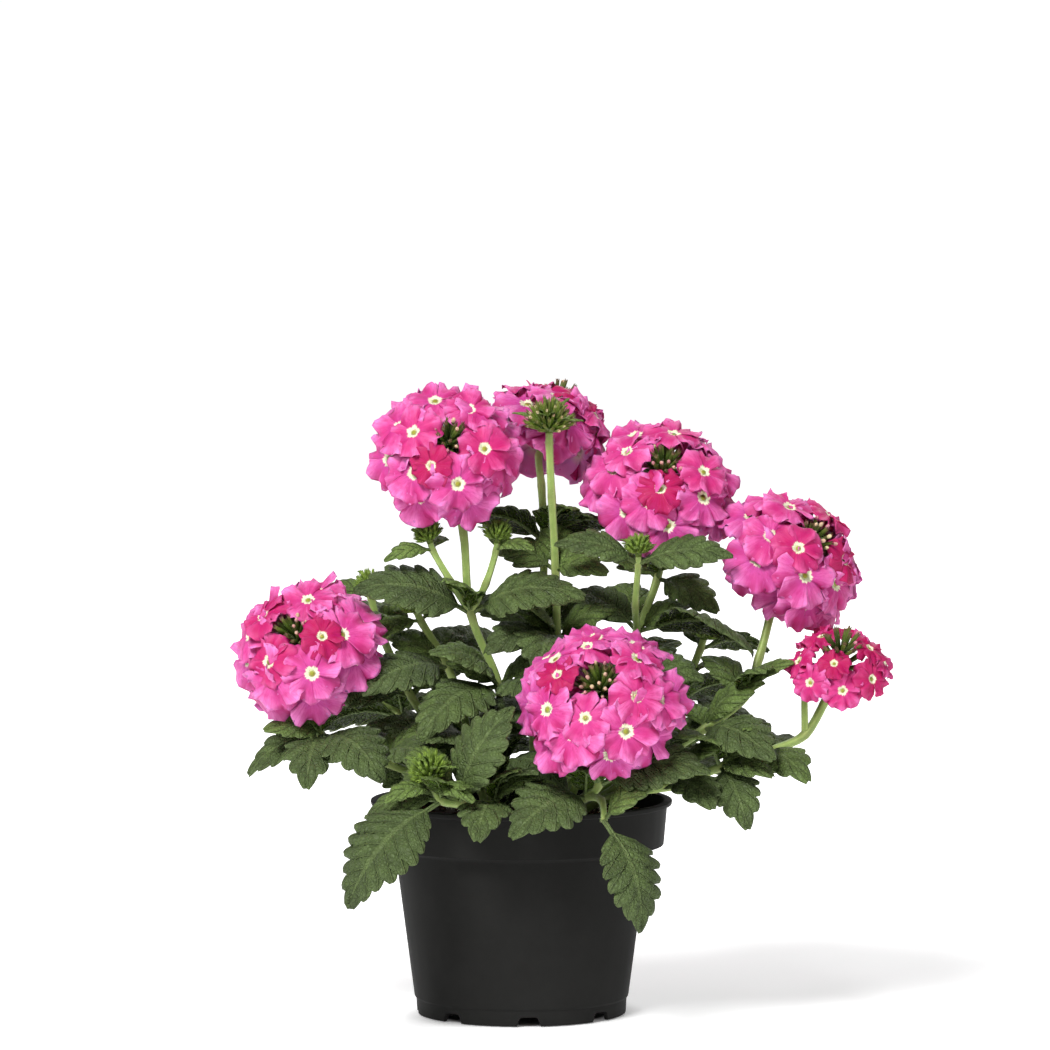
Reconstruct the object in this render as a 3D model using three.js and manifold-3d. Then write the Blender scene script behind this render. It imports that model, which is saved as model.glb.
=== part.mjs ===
// A garden verbena in bloom, growing in a 12 cm nursery pot.
//
// Millimetres, +Z up. The origin is the middle of the pot's foot, on the surface that the pot
// stands on. The plant's front is towards -Y and its right-hand side, seen from there, is +X.
//
// The plant grows from the potting mix as separate leafy stems, each in a hole of its own. A stem
// ends in a flower head, which is a green cluster of calyces inside a dome of pink florets, or in
// a head of closed buds.

import * as THREE from 'three';
import { mergeVertices } from 'three/addons/utils/BufferGeometryUtils.js';
import Module from 'manifold-3d';

const wasm = await Module();
wasm.setup();

// ---------------------------------------------------------------- driving dimensions

const CLEARANCE = 0.3;

const POT_SEGMENTS = 28;
const POT_HEIGHT = 85;
const RIM_RADIUS = 60;
const RIM_THICKNESS = 1.6;
const COLLAR_TOP_RADIUS = 58;
const COLLAR_FOOT_RADIUS = 56.6;
const COLLAR_FOOT_HEIGHT = 67;
const BODY_TOP_RADIUS = 50.4;
const BODY_FOOT_RADIUS = 42.6;
const FOOT_RADIUS = 41.6;
const FOOT_RING_WIDTH = 2;
const FOOT_HEIGHT = 6;
const CENTRE_FOOT_RADIUS = 12;
const DRAIN_CHANNEL_HEIGHT = 2.2;
const WALL = 1.2;
const DRAIN_NOTCHES = 8;
const DRAIN_NOTCH_FOOT_WIDTH = 10;
const DRAIN_NOTCH_TOP_WIDTH = 5.8;
const DRAIN_NOTCH_HEIGHT = 3.7;
const DRAIN_NOTCH_REACH = 8;
const FIRST_NOTCH_DEGREES = -41;

const MIX_TOP = 78;
const MIX_RINGS = 1;
const MIX_SEGMENTS = 16;
const MIX_BUMP = 2.2;
const HOLE_DEPTH = 12;
const HOLE_RADIUS = 3.5;
const HOLE_SIDES = 5;

const MAIN_STEM = 3.5;
const SIDE_STEM = 2.8;
const STEM_END = 4;
const ROOT_IN_STEM = 1.1;

const LEAF_WIDTH_RATIO = 0.58;
const LEAF_THICKNESS = 0.8;
const MIDRIB_THICKNESS = 1.5;
const LEAF_ARCH = 0.12;
const LEAF_FOLD = 0.2;
const PETIOLE_SHARE = 0.13;
const PETIOLE_HALF_WIDTH = 1.3;
const TOOTH_SPACING = 12.5;
const FEWEST_TEETH = 2;
const MOST_TEETH = 4;
const TOOTH_PEAK = 0.66;
const LEAF_TWIST_DEGREES = 16;
const LEAF_FACING_DEGREES = 38;
const BACK_OF_PLANT = 24;

const FLORET_LOBES = 5;
const FLORET_DIAMETER = 24;
const SMALL_FLORET_DIAMETER = 20;
const INNER_FLORET_DIAMETER = 21;
const LOBE_HALF_TURN = 0.36;
const LOBE_GAP_REACH = 0.48;
const LOBE_NOTCH_REACH = 0.84;
const LOBE_WAVE = 0.45;
const THROAT_DEPTH = 0.9;
const PETAL_THICKNESS = 1.4;
const COROLLA_TUBE_RADIUS = 1.1;
const COROLLA_TUBE_TOP = -2.4;
const SHINGLE_DEGREES = 16;

const SMALL_HEAD_RADIUS = 26;
const HEAD_NECK_RADIUS = 3.4;
const HEAD_STALK_RADIUS = 1.6;
const HEAD_STALK_LENGTH = 10;
const FLORET_OVERHANG = 8.2;
const OUTER_LEAN_DEGREES = 43;
const INNER_LEAN_DEGREES = 20;
const INNER_RING_SHARE = 0.45;
const INNER_RING_SMALLEST = 12.5;
const INNER_RING_HEIGHT = 13;

const UP = new THREE.Vector3(0, 0, 1);

// ---------------------------------------------------------------- solids

function solidFrom(points, triangles) {
  const vertProperties = new Float32Array(points.flatMap((p) => [p.x, p.y, p.z]));
  const triVerts = new Uint32Array(triangles.flat());
  return new wasm.Manifold(new wasm.Mesh({ numProp: 3, vertProperties, triVerts }));
}

function solidOf(geometry) {
  const bare = geometry.clone();
  bare.deleteAttribute('normal');
  bare.deleteAttribute('uv');
  const merged = mergeVertices(bare, 1e-4);
  return new wasm.Manifold(new wasm.Mesh({
    numProp: 3,
    vertProperties: new Float32Array(merged.attributes.position.array),
    triVerts: new Uint32Array(merged.index.array),
  }));
}

// Joins solids into one body. A hollow that the joining seals is filled, and a loose scrap is
// left out, because only the outer surface of the largest body is kept.
function fused(solids) {
  const joined = solids.reduce((sum, solid) => sum.add(solid));
  const bodies = joined.decompose();
  return bodies.reduce((best, body) => (body.volume() > best.volume() ? body : best));
}

function namedMesh(name, solid, material) {
  const { vertProperties, triVerts } = solid.getMesh();
  const geometry = new THREE.BufferGeometry();
  geometry.setAttribute('position', new THREE.BufferAttribute(vertProperties, 3));
  geometry.setIndex(new THREE.BufferAttribute(triVerts, 1));
  geometry.computeVertexNormals();
  const mesh = new THREE.Mesh(geometry, material);
  mesh.name = name;
  return mesh;
}

function vector([x, y, z]) {
  return new THREE.Vector3(x, y, z);
}

// A repeatable stream of numbers from 0 to 1.
function randomStream(seed) {
  let state = seed;
  return () => {
    state = (state * 1664525 + 1013904223) % 4294967296;
    return state / 4294967296;
  };
}

// ---------------------------------------------------------------- pot

// One closed turned wall: a foot ring, a tapering body, and a wide collar under a rolled rim.
// Notches in the foot ring open the drain channel to the outside and into the pot.
function potSolid() {
  const floorTop = DRAIN_CHANNEL_HEIGHT + WALL;
  const outside = [
    [0, 0],
    [CENTRE_FOOT_RADIUS, 0],
    [CENTRE_FOOT_RADIUS + 2, DRAIN_CHANNEL_HEIGHT],
    [FOOT_RADIUS - FOOT_RING_WIDTH, DRAIN_CHANNEL_HEIGHT],
    [FOOT_RADIUS - FOOT_RING_WIDTH, 0],
    [FOOT_RADIUS, 0],
    [FOOT_RADIUS + 0.3, FOOT_HEIGHT],
    [BODY_FOOT_RADIUS, FOOT_HEIGHT + 1],
    [BODY_TOP_RADIUS, COLLAR_FOOT_HEIGHT - 1],
    [BODY_TOP_RADIUS + 1.4, COLLAR_FOOT_HEIGHT],
    [COLLAR_FOOT_RADIUS, COLLAR_FOOT_HEIGHT + 0.4],
    [COLLAR_TOP_RADIUS, POT_HEIGHT - RIM_THICKNESS - 0.4],
    [RIM_RADIUS, POT_HEIGHT - RIM_THICKNESS],
    [RIM_RADIUS - 0.3, POT_HEIGHT],
  ];
  const inside = [
    [COLLAR_TOP_RADIUS - WALL, POT_HEIGHT],
    [COLLAR_FOOT_RADIUS - WALL, COLLAR_FOOT_HEIGHT + WALL],
    [BODY_TOP_RADIUS - WALL, COLLAR_FOOT_HEIGHT + WALL],
    [BODY_FOOT_RADIUS - WALL, floorTop],
    [0, floorTop],
  ];
  const profile = [...outside, ...inside].map(([radius, height]) => new THREE.Vector2(radius, height));
  const turned = new THREE.LatheGeometry(profile, POT_SEGMENTS);
  turned.rotateX(Math.PI / 2);
  let pot = solidOf(turned);

  const arch = new THREE.Shape();
  arch.moveTo(-DRAIN_NOTCH_FOOT_WIDTH / 2, -1);
  arch.lineTo(DRAIN_NOTCH_FOOT_WIDTH / 2, -1);
  arch.lineTo(DRAIN_NOTCH_TOP_WIDTH / 2, DRAIN_NOTCH_HEIGHT);
  arch.lineTo(-DRAIN_NOTCH_TOP_WIDTH / 2, DRAIN_NOTCH_HEIGHT);
  arch.closePath();
  for (let k = 0; k < DRAIN_NOTCHES; k += 1) {
    const cutter = new THREE.ExtrudeGeometry(arch, { depth: DRAIN_NOTCH_REACH + 6, bevelEnabled: false });
    cutter.rotateX(Math.PI / 2);
    cutter.translate(0, -FOOT_RADIUS + DRAIN_NOTCH_REACH, 0);
    cutter.rotateZ(THREE.MathUtils.degToRad(FIRST_NOTCH_DEGREES + (360 / DRAIN_NOTCHES) * k));
    pot = pot.subtract(solidOf(cutter));
  }
  return pot;
}

// ---------------------------------------------------------------- plan of the plant

// Each stem is a list of joints from its root to its tip. A joint has its place, and the tips of
// the leaves that grow from it. A side shoot leaves the stem at the joint that its from names.
// The last entry of a stem or shoot says what it ends in: a flower head, or a head of buds.
const STEMS = [
  {
    name: 'stem_middle',
    joints: [
      { at: [-6, -8, 80] },
      { at: [-7, -9, 100], leaves: [[-20, -50, 94], [17, -44, 93]] },
      { at: [-9, -10, 131], leaves: [[-40, -42, 113], [18, -44, 124], [-36, -32, 146]] },
      { at: [-20, -12, 160], leaves: [[-66, -21, 170], [25, -27, 168]] },
      { at: [-23, -9, 192] },
      { at: [-28, -1, 212] },
    ],
    head: {
      name: 'middle', at: [-29, -16, 225], facing: [0.05, -0.87, 0.48],
      radius: 30.5, outer: 8, inner: 4,
    },
    shoots: [
      {
        from: 3,
        joints: [{ at: [-28, -14, 173] }, { at: [-35, -12, 185], leaves: [[-54, -20, 181], [-33, 10, 187]] }],
        buds: { name: 'middle_left', facing: [-0.3, -0.1, 0.95], radius: 6, columns: 12 },
      },
      {
        from: 3,
        joints: [{ at: [-14, -14, 172] }, { at: [-10, -12, 185], leaves: [[5, -26, 186], [-9, 7, 188]] }],
        buds: { name: 'middle_right', facing: [0.1, -0.1, 0.95], radius: 6, columns: 12 },
      },
    ],
  },
  {
    name: 'stem_back_middle',
    joints: [
      { at: [4, 14, 80] },
      { at: [5, 18, 108], leaves: [[-24, 40, 112], [26, 48, 118]] },
      { at: [8, 22, 150], leaves: [[-22, 38, 160], [38, 22, 160]] },
      { at: [9, 27, 186], leaves: [[-20, 10, 196], [36, 10, 194]] },
      { at: [8, 30, 208] },
    ],
    head: { name: 'top', at: [12, 36, 233], facing: [0.35, 0.25, 0.9], radius: 26, outer: 6, inner: 3 },
  },
  {
    name: 'stem_tall',
    joints: [
      { at: [10, -4, 80] },
      { at: [12, -3, 112], leaves: [[46, -30, 118], [-16, -34, 120]] },
      { at: [14, -1, 148], leaves: [[6, -42, 140], [30, 30, 133], [-14, -30, 146]] },
      { at: [13.5, 0, 176], leaves: [[34, -14, 176], [-10, 16, 184]] },
      { at: [12, 1, 205] },
      { at: [11, 1, 227] },
    ],
    buds: { name: 'tall', facing: [0, -0.15, 1], radius: 11, columns: 12 },
  },
  {
    name: 'stem_right_middle',
    joints: [
      { at: [18, 4, 80] },
      { at: [26, 4, 100], leaves: [[58, 20, 106], [22, -30, 96]] },
      { at: [38, 2, 130], leaves: [[66, 26, 138], [26, -36, 136], [72, -16, 134]] },
      { at: [46, 0, 152], leaves: [[91, -30, 146, -15], [20, 16, 166]] },
      { at: [54, 9, 172], leaves: [[78, -4, 160], [42, 38, 178]] },
      { at: [57, 17, 190] },
    ],
    head: {
      name: 'right_middle', at: [56, 9, 211.5], facing: [0.1, -0.7, 0.7],
      radius: 32, outer: 8, inner: 3,
    },
    shoots: [
      {
        from: 3,
        joints: [{ at: [45, -11, 163] }, { at: [46, -17, 180], leaves: [[13, -22, 188], [83, -27, 184]] }],
        buds: { name: 'right_middle_low', facing: [0, -0.15, 1], radius: 5.8, columns: 12 },
      },
    ],
  },
  {
    name: 'stem_left',
    joints: [
      { at: [-16, -2, 80] },
      { at: [-32, -6, 91], leaves: [[-45, -34, 90], [-58, 12, 93]] },
      { at: [-54, -11, 101], leaves: [[-66, 20, 106], [-34, -44, 104]] },
      { at: [-79, -14, 112], leaves: [[-101, -28, 115], [-54, -46, 97], [-108, -12, 96], [-84, -44, 94]] },
      { at: [-81, -5, 130] },
    ],
    head: {
      name: 'left', at: [-86, -20, 148], facing: [-0.33, -0.78, 0.53],
      radius: 30.5, outer: 8, inner: 4,
    },
  },
  {
    name: 'stem_left_back',
    joints: [
      { at: [-12, 10, 80] },
      { at: [-26, 18, 98], leaves: [[-62, 28, 112]] },
      { at: [-44, 18, 124], leaves: [[-84, 26, 124], [-34, 46, 136]] },
      { at: [-56, 14, 150], leaves: [[-86, -2, 158], [-58, 46, 158]] },
      { at: [-60, 14, 164], leaves: [[-79, 27, 167], [-45, 1, 166]] },
    ],
    buds: { name: 'left_back', facing: [-0.2, 0, 1], radius: 5.5, columns: 12 },
  },
  {
    name: 'stem_left_middle',
    joints: [
      { at: [-14, -12, 80] },
      { at: [-19, -9, 104], leaves: [[-54, 2, 114], [-36, -44, 112]] },
      { at: [-29, -5, 138], leaves: [[-63, -28, 130], [-14, 26, 150]] },
      { at: [-40, 1, 156], leaves: [[-61, -8, 149], [-30, 19, 159]] },
    ],
    buds: { name: 'left_middle', facing: [-0.4, 0, 0.9], radius: 5, columns: 8 },
  },
  {
    name: 'stem_front_left',
    joints: [
      { at: [-6, -26, 80] },
      { at: [-7, -37, 84], leaves: [[7, -62, 103]] },
      { at: [-11, -48, 88], leaves: [[-5, -58, 108, 20], [-17, -82, 78]] },
      { at: [-24, -57, 89.5], leaves: [[-3, -64, 128, 60], [-46, -40, 100]] },
      { at: [-31, -59, 91], leaves: [[-67, -76, 51], [-60, -50, 84]] },
      { at: [-34, -57, 96], leaves: [[-18, -73, 92], [-53, -66, 91]] },
    ],
    buds: { name: 'front_left', facing: [-0.2, -0.35, 0.9], radius: 8.5, columns: 16 },
  },
  {
    name: 'stem_front_right',
    joints: [
      { at: [6, -24, 80] },
      { at: [14, -35, 84] },
      { at: [25, -46, 91], leaves: [[-4, -80, 79]] },
      { at: [30, -50, 96], leaves: [[73, -64, 103], [10, -66, 108]] },
      { at: [31, -49, 112] },
    ],
    head: { name: 'front', at: [31, -62, 132], facing: [-0.08, -0.8, 0.6], radius: 36, outer: 9, inner: 5 },
    shoots: [
      {
        from: 2,
        joints: [{ at: [31, -57, 91] }, { at: [32, -66, 84], leaves: [[46, -77, 42]] }],
      },
    ],
  },
  {
    name: 'stem_right',
    joints: [
      { at: [24, -5, 80] },
      { at: [38, -11, 91], leaves: [[48, -46, 101]] },
      { at: [56, -17, 104], leaves: [[60, 18, 110], [52, -52, 114]] },
      { at: [72, -20, 115], leaves: [[98, -52, 106], [86, 14, 118]] },
      { at: [88, -15, 127], leaves: [[96, -38, 140], [72, -2, 142]] },
      { at: [94, -8, 142] },
      { at: [99, -1, 160] },
    ],
    head: { name: 'right', at: [110, 0, 183], facing: [0.55, -0.55, 0.62], radius: 33, outer: 8, inner: 4 },
  },
  {
    name: 'stem_right_low',
    joints: [
      { at: [22, -16, 80] },
      { at: [40, -26, 90] },
      { at: [60, -31, 94], leaves: [[74, -62, 88]] },
      { at: [78, -30, 101], leaves: [[98, -46, 99], [88, -52, 79]] },
      { at: [96, -22, 106], leaves: [[112, -44, 97], [104, 12, 104]] },
      { at: [112, -13, 112] },
      { at: [121, -8, 126] },
    ],
    head: {
      name: 'right_low', at: [125, -24, 141.5], facing: [0.05, -0.62, 0.78],
      radius: 25.5, outer: 6, inner: 0,
    },
    shoots: [
      {
        from: 5,
        joints: [{ at: [112, -10, 129] }],
        buds: { name: 'right_low', facing: [0.1, 0, 1], radius: 4, columns: 8 },
      },
    ],
  },
  {
    name: 'stem_back_left',
    joints: [
      { at: [-8, 24, 80] },
      { at: [-20, 38, 94], leaves: [[-54, 40, 90], [6, 66, 98]] },
      { at: [-48, 52, 113], leaves: [[-44, 84, 116], [-82, 42, 108]] },
    ],
    head: {
      name: 'back_left', at: [-84, 66, 140], facing: [-0.4, 0.75, 0.55],
      radius: 28, outer: 6, inner: 2,
    },
  },
  {
    name: 'stem_back_right',
    joints: [
      { at: [12, 25, 80] },
      { at: [24, 38, 92], leaves: [[58, 42, 92], [18, 76, 84]] },
      { at: [32, 52, 103], leaves: [[68, 58, 106]] },
    ],
    head: {
      name: 'back_right', at: [38, 74, 119], facing: [0.3, 0.78, 0.55],
      radius: 28, outer: 6, inner: 2,
    },
  },
  {
    name: 'stem_right_back',
    joints: [
      { at: [26, 12, 80] },
      { at: [46, 24, 96], leaves: [[84, 32, 92], [66, 2, 90]] },
      { at: [62, 30, 120], leaves: [[94, 30, 128], [68, 62, 127]] },
      { at: [72, 32, 142], leaves: [[100, 44, 140], [66, 57, 147]] },
    ],
    buds: { name: 'right_back', facing: [0.3, 0.1, 1], radius: 7, columns: 12 },
  },
];

// ---------------------------------------------------------------- potting mix

// The crumbly mix fills the pot to below its rim. Each stem stands in a plain hole in it.
function mixSolid(random) {
  const floor = DRAIN_CHANNEL_HEIGHT + WALL + CLEARANCE;
  const ledge = COLLAR_FOOT_HEIGHT + WALL + CLEARANCE;
  const widest = COLLAR_FOOT_RADIUS - WALL - CLEARANCE;
  const profile = [
    [0, floor],
    [BODY_FOOT_RADIUS - WALL - 2 * CLEARANCE, floor],
    [BODY_TOP_RADIUS - WALL - 2 * CLEARANCE, ledge],
    [widest, ledge],
    [widest, MIX_TOP - 2],
  ];
  for (let ring = 0; ring <= MIX_RINGS; ring += 1) {
    profile.push([widest * 0.98 * (1 - ring / MIX_RINGS), MIX_TOP - 0.6]);
  }
  const turned = new THREE.LatheGeometry(profile.map(([r, h]) => new THREE.Vector2(r, h)), MIX_SEGMENTS);
  turned.rotateX(Math.PI / 2);
  turned.deleteAttribute('normal');
  turned.deleteAttribute('uv');
  const heap = mergeVertices(turned, 1e-4);
  const corners = heap.attributes.position;
  for (let k = 0; k < corners.count; k += 1) {
    if (corners.getZ(k) > MIX_TOP - 1) {
      corners.setZ(k, corners.getZ(k) + random() * MIX_BUMP);
    }
  }
  let mix = solidOf(heap);
  STEMS.forEach((stem) => {
    const [x, y] = stem.joints[0].at;
    const hole = new THREE.CylinderGeometry(HOLE_RADIUS, HOLE_RADIUS, HOLE_DEPTH * 2, HOLE_SIDES);
    hole.rotateX(Math.PI / 2);
    hole.translate(x, y, MIX_TOP);
    mix = mix.subtract(solidOf(hole));
  });
  return fused([mix]);
}

// ---------------------------------------------------------------- stems

// A smooth path whose steps fall on its joints, where the leaves and shoots are.
class JointedPath extends THREE.CatmullRomCurve3 {
  getSpacedPoints(count) {
    return this.getPoints(count);
  }

  getTangentAt(share, target) {
    return this.getTangent(share, target);
  }
}

// Verbena stems are four-sided, so a stem is a square section carried along its path.
function stemSolid(path, thickness, steps) {
  const half = thickness / 2;
  const section = new THREE.Shape([
    new THREE.Vector2(-half, -half),
    new THREE.Vector2(half, -half),
    new THREE.Vector2(half, half),
    new THREE.Vector2(-half, half),
  ]);
  return solidOf(new THREE.ExtrudeGeometry(section, { steps, extrudePath: path, bevelEnabled: false }));
}

// ---------------------------------------------------------------- leaves

// Half of the blade's width, from 0 to 1, at a share of the way from its foot to its tip.
function leafOutline(share) {
  return Math.sin(Math.PI * share ** 0.72) ** 0.85;
}

// A toothed blade on a short stalk, arched along its midrib and folded a little upwards across
// it. The underside has its corners at the notches, so that the teeth are bevelled beneath.
function leafSolid(base, tip, roll) {
  const span = tip.clone().sub(base);
  const length = span.length();
  const ahead = span.clone().normalize();
  const side = new THREE.Vector3().crossVectors(ahead, UP).normalize().applyAxisAngle(ahead, roll);
  const lift = new THREE.Vector3().crossVectors(side, ahead);
  const crest = base.clone().lerp(tip, 0.5).addScaledVector(lift, 2 * LEAF_ARCH * length);
  const midrib = new THREE.QuadraticBezierCurve3(base, crest, tip);
  const halfWidth = (LEAF_WIDTH_RATIO * length) / 2;
  const teeth = THREE.MathUtils.clamp(Math.round(length / TOOTH_SPACING), FEWEST_TEETH, MOST_TEETH);
  const bladeShare = (share) => PETIOLE_SHARE + (1 - PETIOLE_SHARE) * share;
  const points = [];

  function place(share, across, drop) {
    const normal = new THREE.Vector3().crossVectors(side, midrib.getTangent(share)).normalize();
    const point = midrib.getPoint(share)
      .addScaledVector(side, across)
      .addScaledVector(normal, Math.abs(across) * LEAF_FOLD - drop);
    return points.push(point) - 1;
  }

  // The stalk widens from a point deep in the stem to the first row, at the foot of the blade.
  const root = points.push(base.clone().addScaledVector(ahead, -ROOT_IN_STEM)) - 1;
  const rows = [];
  for (let k = 0; k < teeth; k += 1) {
    const share = bladeShare(k / teeth);
    const across = k === 0 ? PETIOLE_HALF_WIDTH : halfWidth * leafOutline(k / teeth) * 0.84;
    const peak = (k + TOOTH_PEAK) / teeth;
    const peakAcross = halfWidth * leafOutline(peak) * 1.04;
    rows.push({
      middle: place(share, 0, 0),
      under: place(share, 0, MIDRIB_THICKNESS),
      edges: [-1, 1].map((hand) => place(share, hand * across, 0)),
      undersides: [-1, 1].map((hand) => place(share, hand * across, LEAF_THICKNESS)),
      teeth: [-1, 1].map((hand) => place(bladeShare(peak), hand * peakAcross, 0)),
    });
  }
  const end = { top: place(1, 0, 0), under: place(1, 0, LEAF_THICKNESS) };

  const triangles = [];
  [0, 1].forEach((hand) => {
    const add = (a, b, c) => triangles.push(hand ? [a, b, c] : [a, c, b]);
    const [first] = rows;
    add(root, first.edges[hand], first.middle);
    add(root, first.under, first.undersides[hand]);
    add(root, first.undersides[hand], first.edges[hand]);
    rows.forEach((row, k) => {
      const next = rows[k + 1];
      const middle = next ? next.middle : end.top;
      const under = next ? next.under : end.under;
      const edge = next ? next.edges[hand] : end.top;
      const underside = next ? next.undersides[hand] : end.under;
      const tooth = row.teeth[hand];
      add(row.middle, row.edges[hand], tooth);
      add(row.middle, tooth, middle);
      add(row.under, under, row.undersides[hand]);
      add(row.edges[hand], row.undersides[hand], tooth);
      add(row.undersides[hand], underside, tooth);
      add(tooth, underside, edge);
      if (next) {
        add(middle, tooth, edge);
        add(under, underside, row.undersides[hand]);
      }
    });
  });
  return solidFrom(points, triangles);
}

// How far a leaf rolls about its length to face the light: a leaf that points sideways turns its
// upper face outwards, to the front or, behind the plant's middle, to the back.
function leafFacing(base, tip) {
  const ahead = vector(tip).sub(vector(base)).normalize();
  const outward = base[1] > BACK_OF_PLANT ? -1 : 1;
  return outward * LEAF_FACING_DEGREES * ahead.x;
}

// ---------------------------------------------------------------- flower heads

// The frame of a head: its axis points the way that the head faces.
function headFrame(facing) {
  const axis = vector(facing).normalize();
  const across = new THREE.Vector3().crossVectors(UP, axis).normalize();
  const along = new THREE.Vector3().crossVectors(axis, across);
  return { axis, across, along };
}

function inFrame(frame, origin, angle, radius, height) {
  return origin.clone()
    .addScaledVector(frame.across, Math.cos(angle) * radius)
    .addScaledVector(frame.along, Math.sin(angle) * radius)
    .addScaledVector(frame.axis, height);
}

// A floret is a thin plate of five notched lobes on a three-sided corolla tube. The plate lies in
// the plane of the two given directions, and the tube runs from beneath it down to the root.
function floretSolid(centre, inward, sideways, root, diameter, spin) {
  const face = new THREE.Vector3().crossVectors(inward, sideways).normalize();
  const radius = diameter / 2;
  const points = [];

  function place(degrees, reach, height) {
    const angle = THREE.MathUtils.degToRad(degrees) + spin;
    const point = centre.clone()
      .addScaledVector(inward, Math.cos(angle) * reach)
      .addScaledVector(sideways, Math.sin(angle) * reach)
      .addScaledVector(face, height);
    return points.push(point) - 1;
  }

  const throat = place(0, 0, -THROAT_DEPTH);
  const foot = points.push(root) - 1;
  const tube = [0, 120, 240].map((degrees) => place(degrees, COROLLA_TUBE_RADIUS, COROLLA_TUBE_TOP));
  const turn = 360 / FLORET_LOBES;
  const lobes = [];
  for (let k = 0; k < FLORET_LOBES; k += 1) {
    const heading = turn * k;
    lobes.push({
      gap: place(heading - turn / 2, radius * LOBE_GAP_REACH, 0),
      left: place(heading - turn * LOBE_HALF_TURN, radius, LOBE_WAVE),
      notch: place(heading, radius * LOBE_NOTCH_REACH, 0),
      right: place(heading + turn * LOBE_HALF_TURN, radius, -LOBE_WAVE),
      under: place(heading - turn / 2, radius * LOBE_GAP_REACH, -PETAL_THICKNESS),
    });
  }

  const triangles = tube.map((corner, k) => [corner, foot, tube[(k + 1) % 3]]);
  lobes.forEach((lobe, k) => {
    const next = lobes[(k + 1) % FLORET_LOBES];
    const edge = [lobe.gap, lobe.left, lobe.notch, lobe.right, next.gap];
    for (let e = 0; e < 4; e += 1) {
      triangles.push([throat, edge[e], edge[e + 1]]);
    }
    triangles.push([lobe.gap, lobe.under, lobe.left]);
    triangles.push([lobe.left, lobe.under, lobe.notch]);
    triangles.push([lobe.notch, lobe.under, next.under]);
    triangles.push([lobe.notch, next.under, lobe.right]);
    triangles.push([lobe.right, next.under, next.gap]);
  });

  // The underside fills in between the five gaps of the lobes and the three corners of the tube.
  const outline = lobes.map((lobe) => lobe.under);
  const step = outline.length / 3;
  outline.forEach((corner, k) => {
    const nearest = Math.floor((k + step / 2) / step) % 3;
    const following = Math.floor((k + 1 + step / 2) / step) % 3;
    triangles.push([corner, tube[nearest], outline[(k + 1) % outline.length]]);
    if (following !== nearest) {
      triangles.push([tube[nearest], tube[following], outline[(k + 1) % outline.length]]);
    }
  });
  return solidFrom(points, triangles);
}

// A ring of florets round the head's axis. Each floret is turned a little about its own radius,
// so that neighbours lap like shingles and don't run through each other.
function floretRing(frame, centre, ring, random) {
  const florets = [];
  for (let k = 0; k < ring.count; k += 1) {
    const angle = ((k + (random() - 0.5) * 0.16) / ring.count) * 2 * Math.PI + ring.start;
    const lean = THREE.MathUtils.degToRad(ring.lean + (random() - 0.5) * 8);
    const radial = inFrame(frame, new THREE.Vector3(), angle, 1, 0);
    const place = inFrame(frame, centre, angle, ring.radius, ring.height + (random() - 0.5) * 1.2);
    const outward = radial.clone().multiplyScalar(Math.cos(lean));
    outward.addScaledVector(frame.axis, -Math.sin(lean));
    const face = radial.clone().multiplyScalar(Math.sin(lean)).addScaledVector(frame.axis, Math.cos(lean));
    const sideways = new THREE.Vector3().crossVectors(face, outward);
    sideways.applyAxisAngle(outward, THREE.MathUtils.degToRad(SHINGLE_DEGREES));
    const root = inFrame(frame, centre, angle, ring.rootRadius, ring.rootHeight);
    florets.push(floretSolid(place, outward, sideways, root, ring.diameter, random() * 2 * Math.PI));
  }
  return florets;
}

function turnedAbout(frame, centre, profile, segments) {
  const lathe = new THREE.LatheGeometry(profile.map(([r, h]) => new THREE.Vector2(r, h)), segments);
  lathe.rotateX(Math.PI / 2);
  lathe.applyMatrix4(new THREE.Matrix4().makeBasis(frame.across, frame.along, frame.axis));
  lathe.translate(centre.x, centre.y, centre.z);
  return solidOf(lathe);
}

// The florets of a head stand on a ring of crowded corolla tubes, open in the middle.
function floretHead(head, random) {
  const frame = headFrame(head.facing);
  const centre = vector(head.at);
  const tubes = turnedAbout(frame, centre, [
    [HEAD_NECK_RADIUS + 0.6, -7.5],
    [8, -7.5],
    [10, -4],
    [9, 0],
    [HEAD_NECK_RADIUS + 0.6, 2],
    [HEAD_NECK_RADIUS + 0.6, -7.5],
  ], 6);
  const outer = {
    count: head.outer,
    radius: head.radius - FLORET_OVERHANG,
    height: 0.5,
    lean: OUTER_LEAN_DEGREES,
    diameter: head.radius < SMALL_HEAD_RADIUS ? SMALL_FLORET_DIAMETER : FLORET_DIAMETER,
    rootRadius: 7,
    rootHeight: -4,
    start: random() * 6,
  };
  const inner = {
    count: head.inner,
    radius: Math.max(INNER_RING_SMALLEST, head.radius * INNER_RING_SHARE),
    height: INNER_RING_HEIGHT,
    lean: INNER_LEAN_DEGREES,
    diameter: INNER_FLORET_DIAMETER,
    rootRadius: 6.2,
    rootHeight: -0.5,
    start: random() * 6,
  };
  return fused([
    tubes,
    ...floretRing(frame, centre, outer, random),
    ...floretRing(frame, centre, inner, random),
  ]);
}

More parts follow.
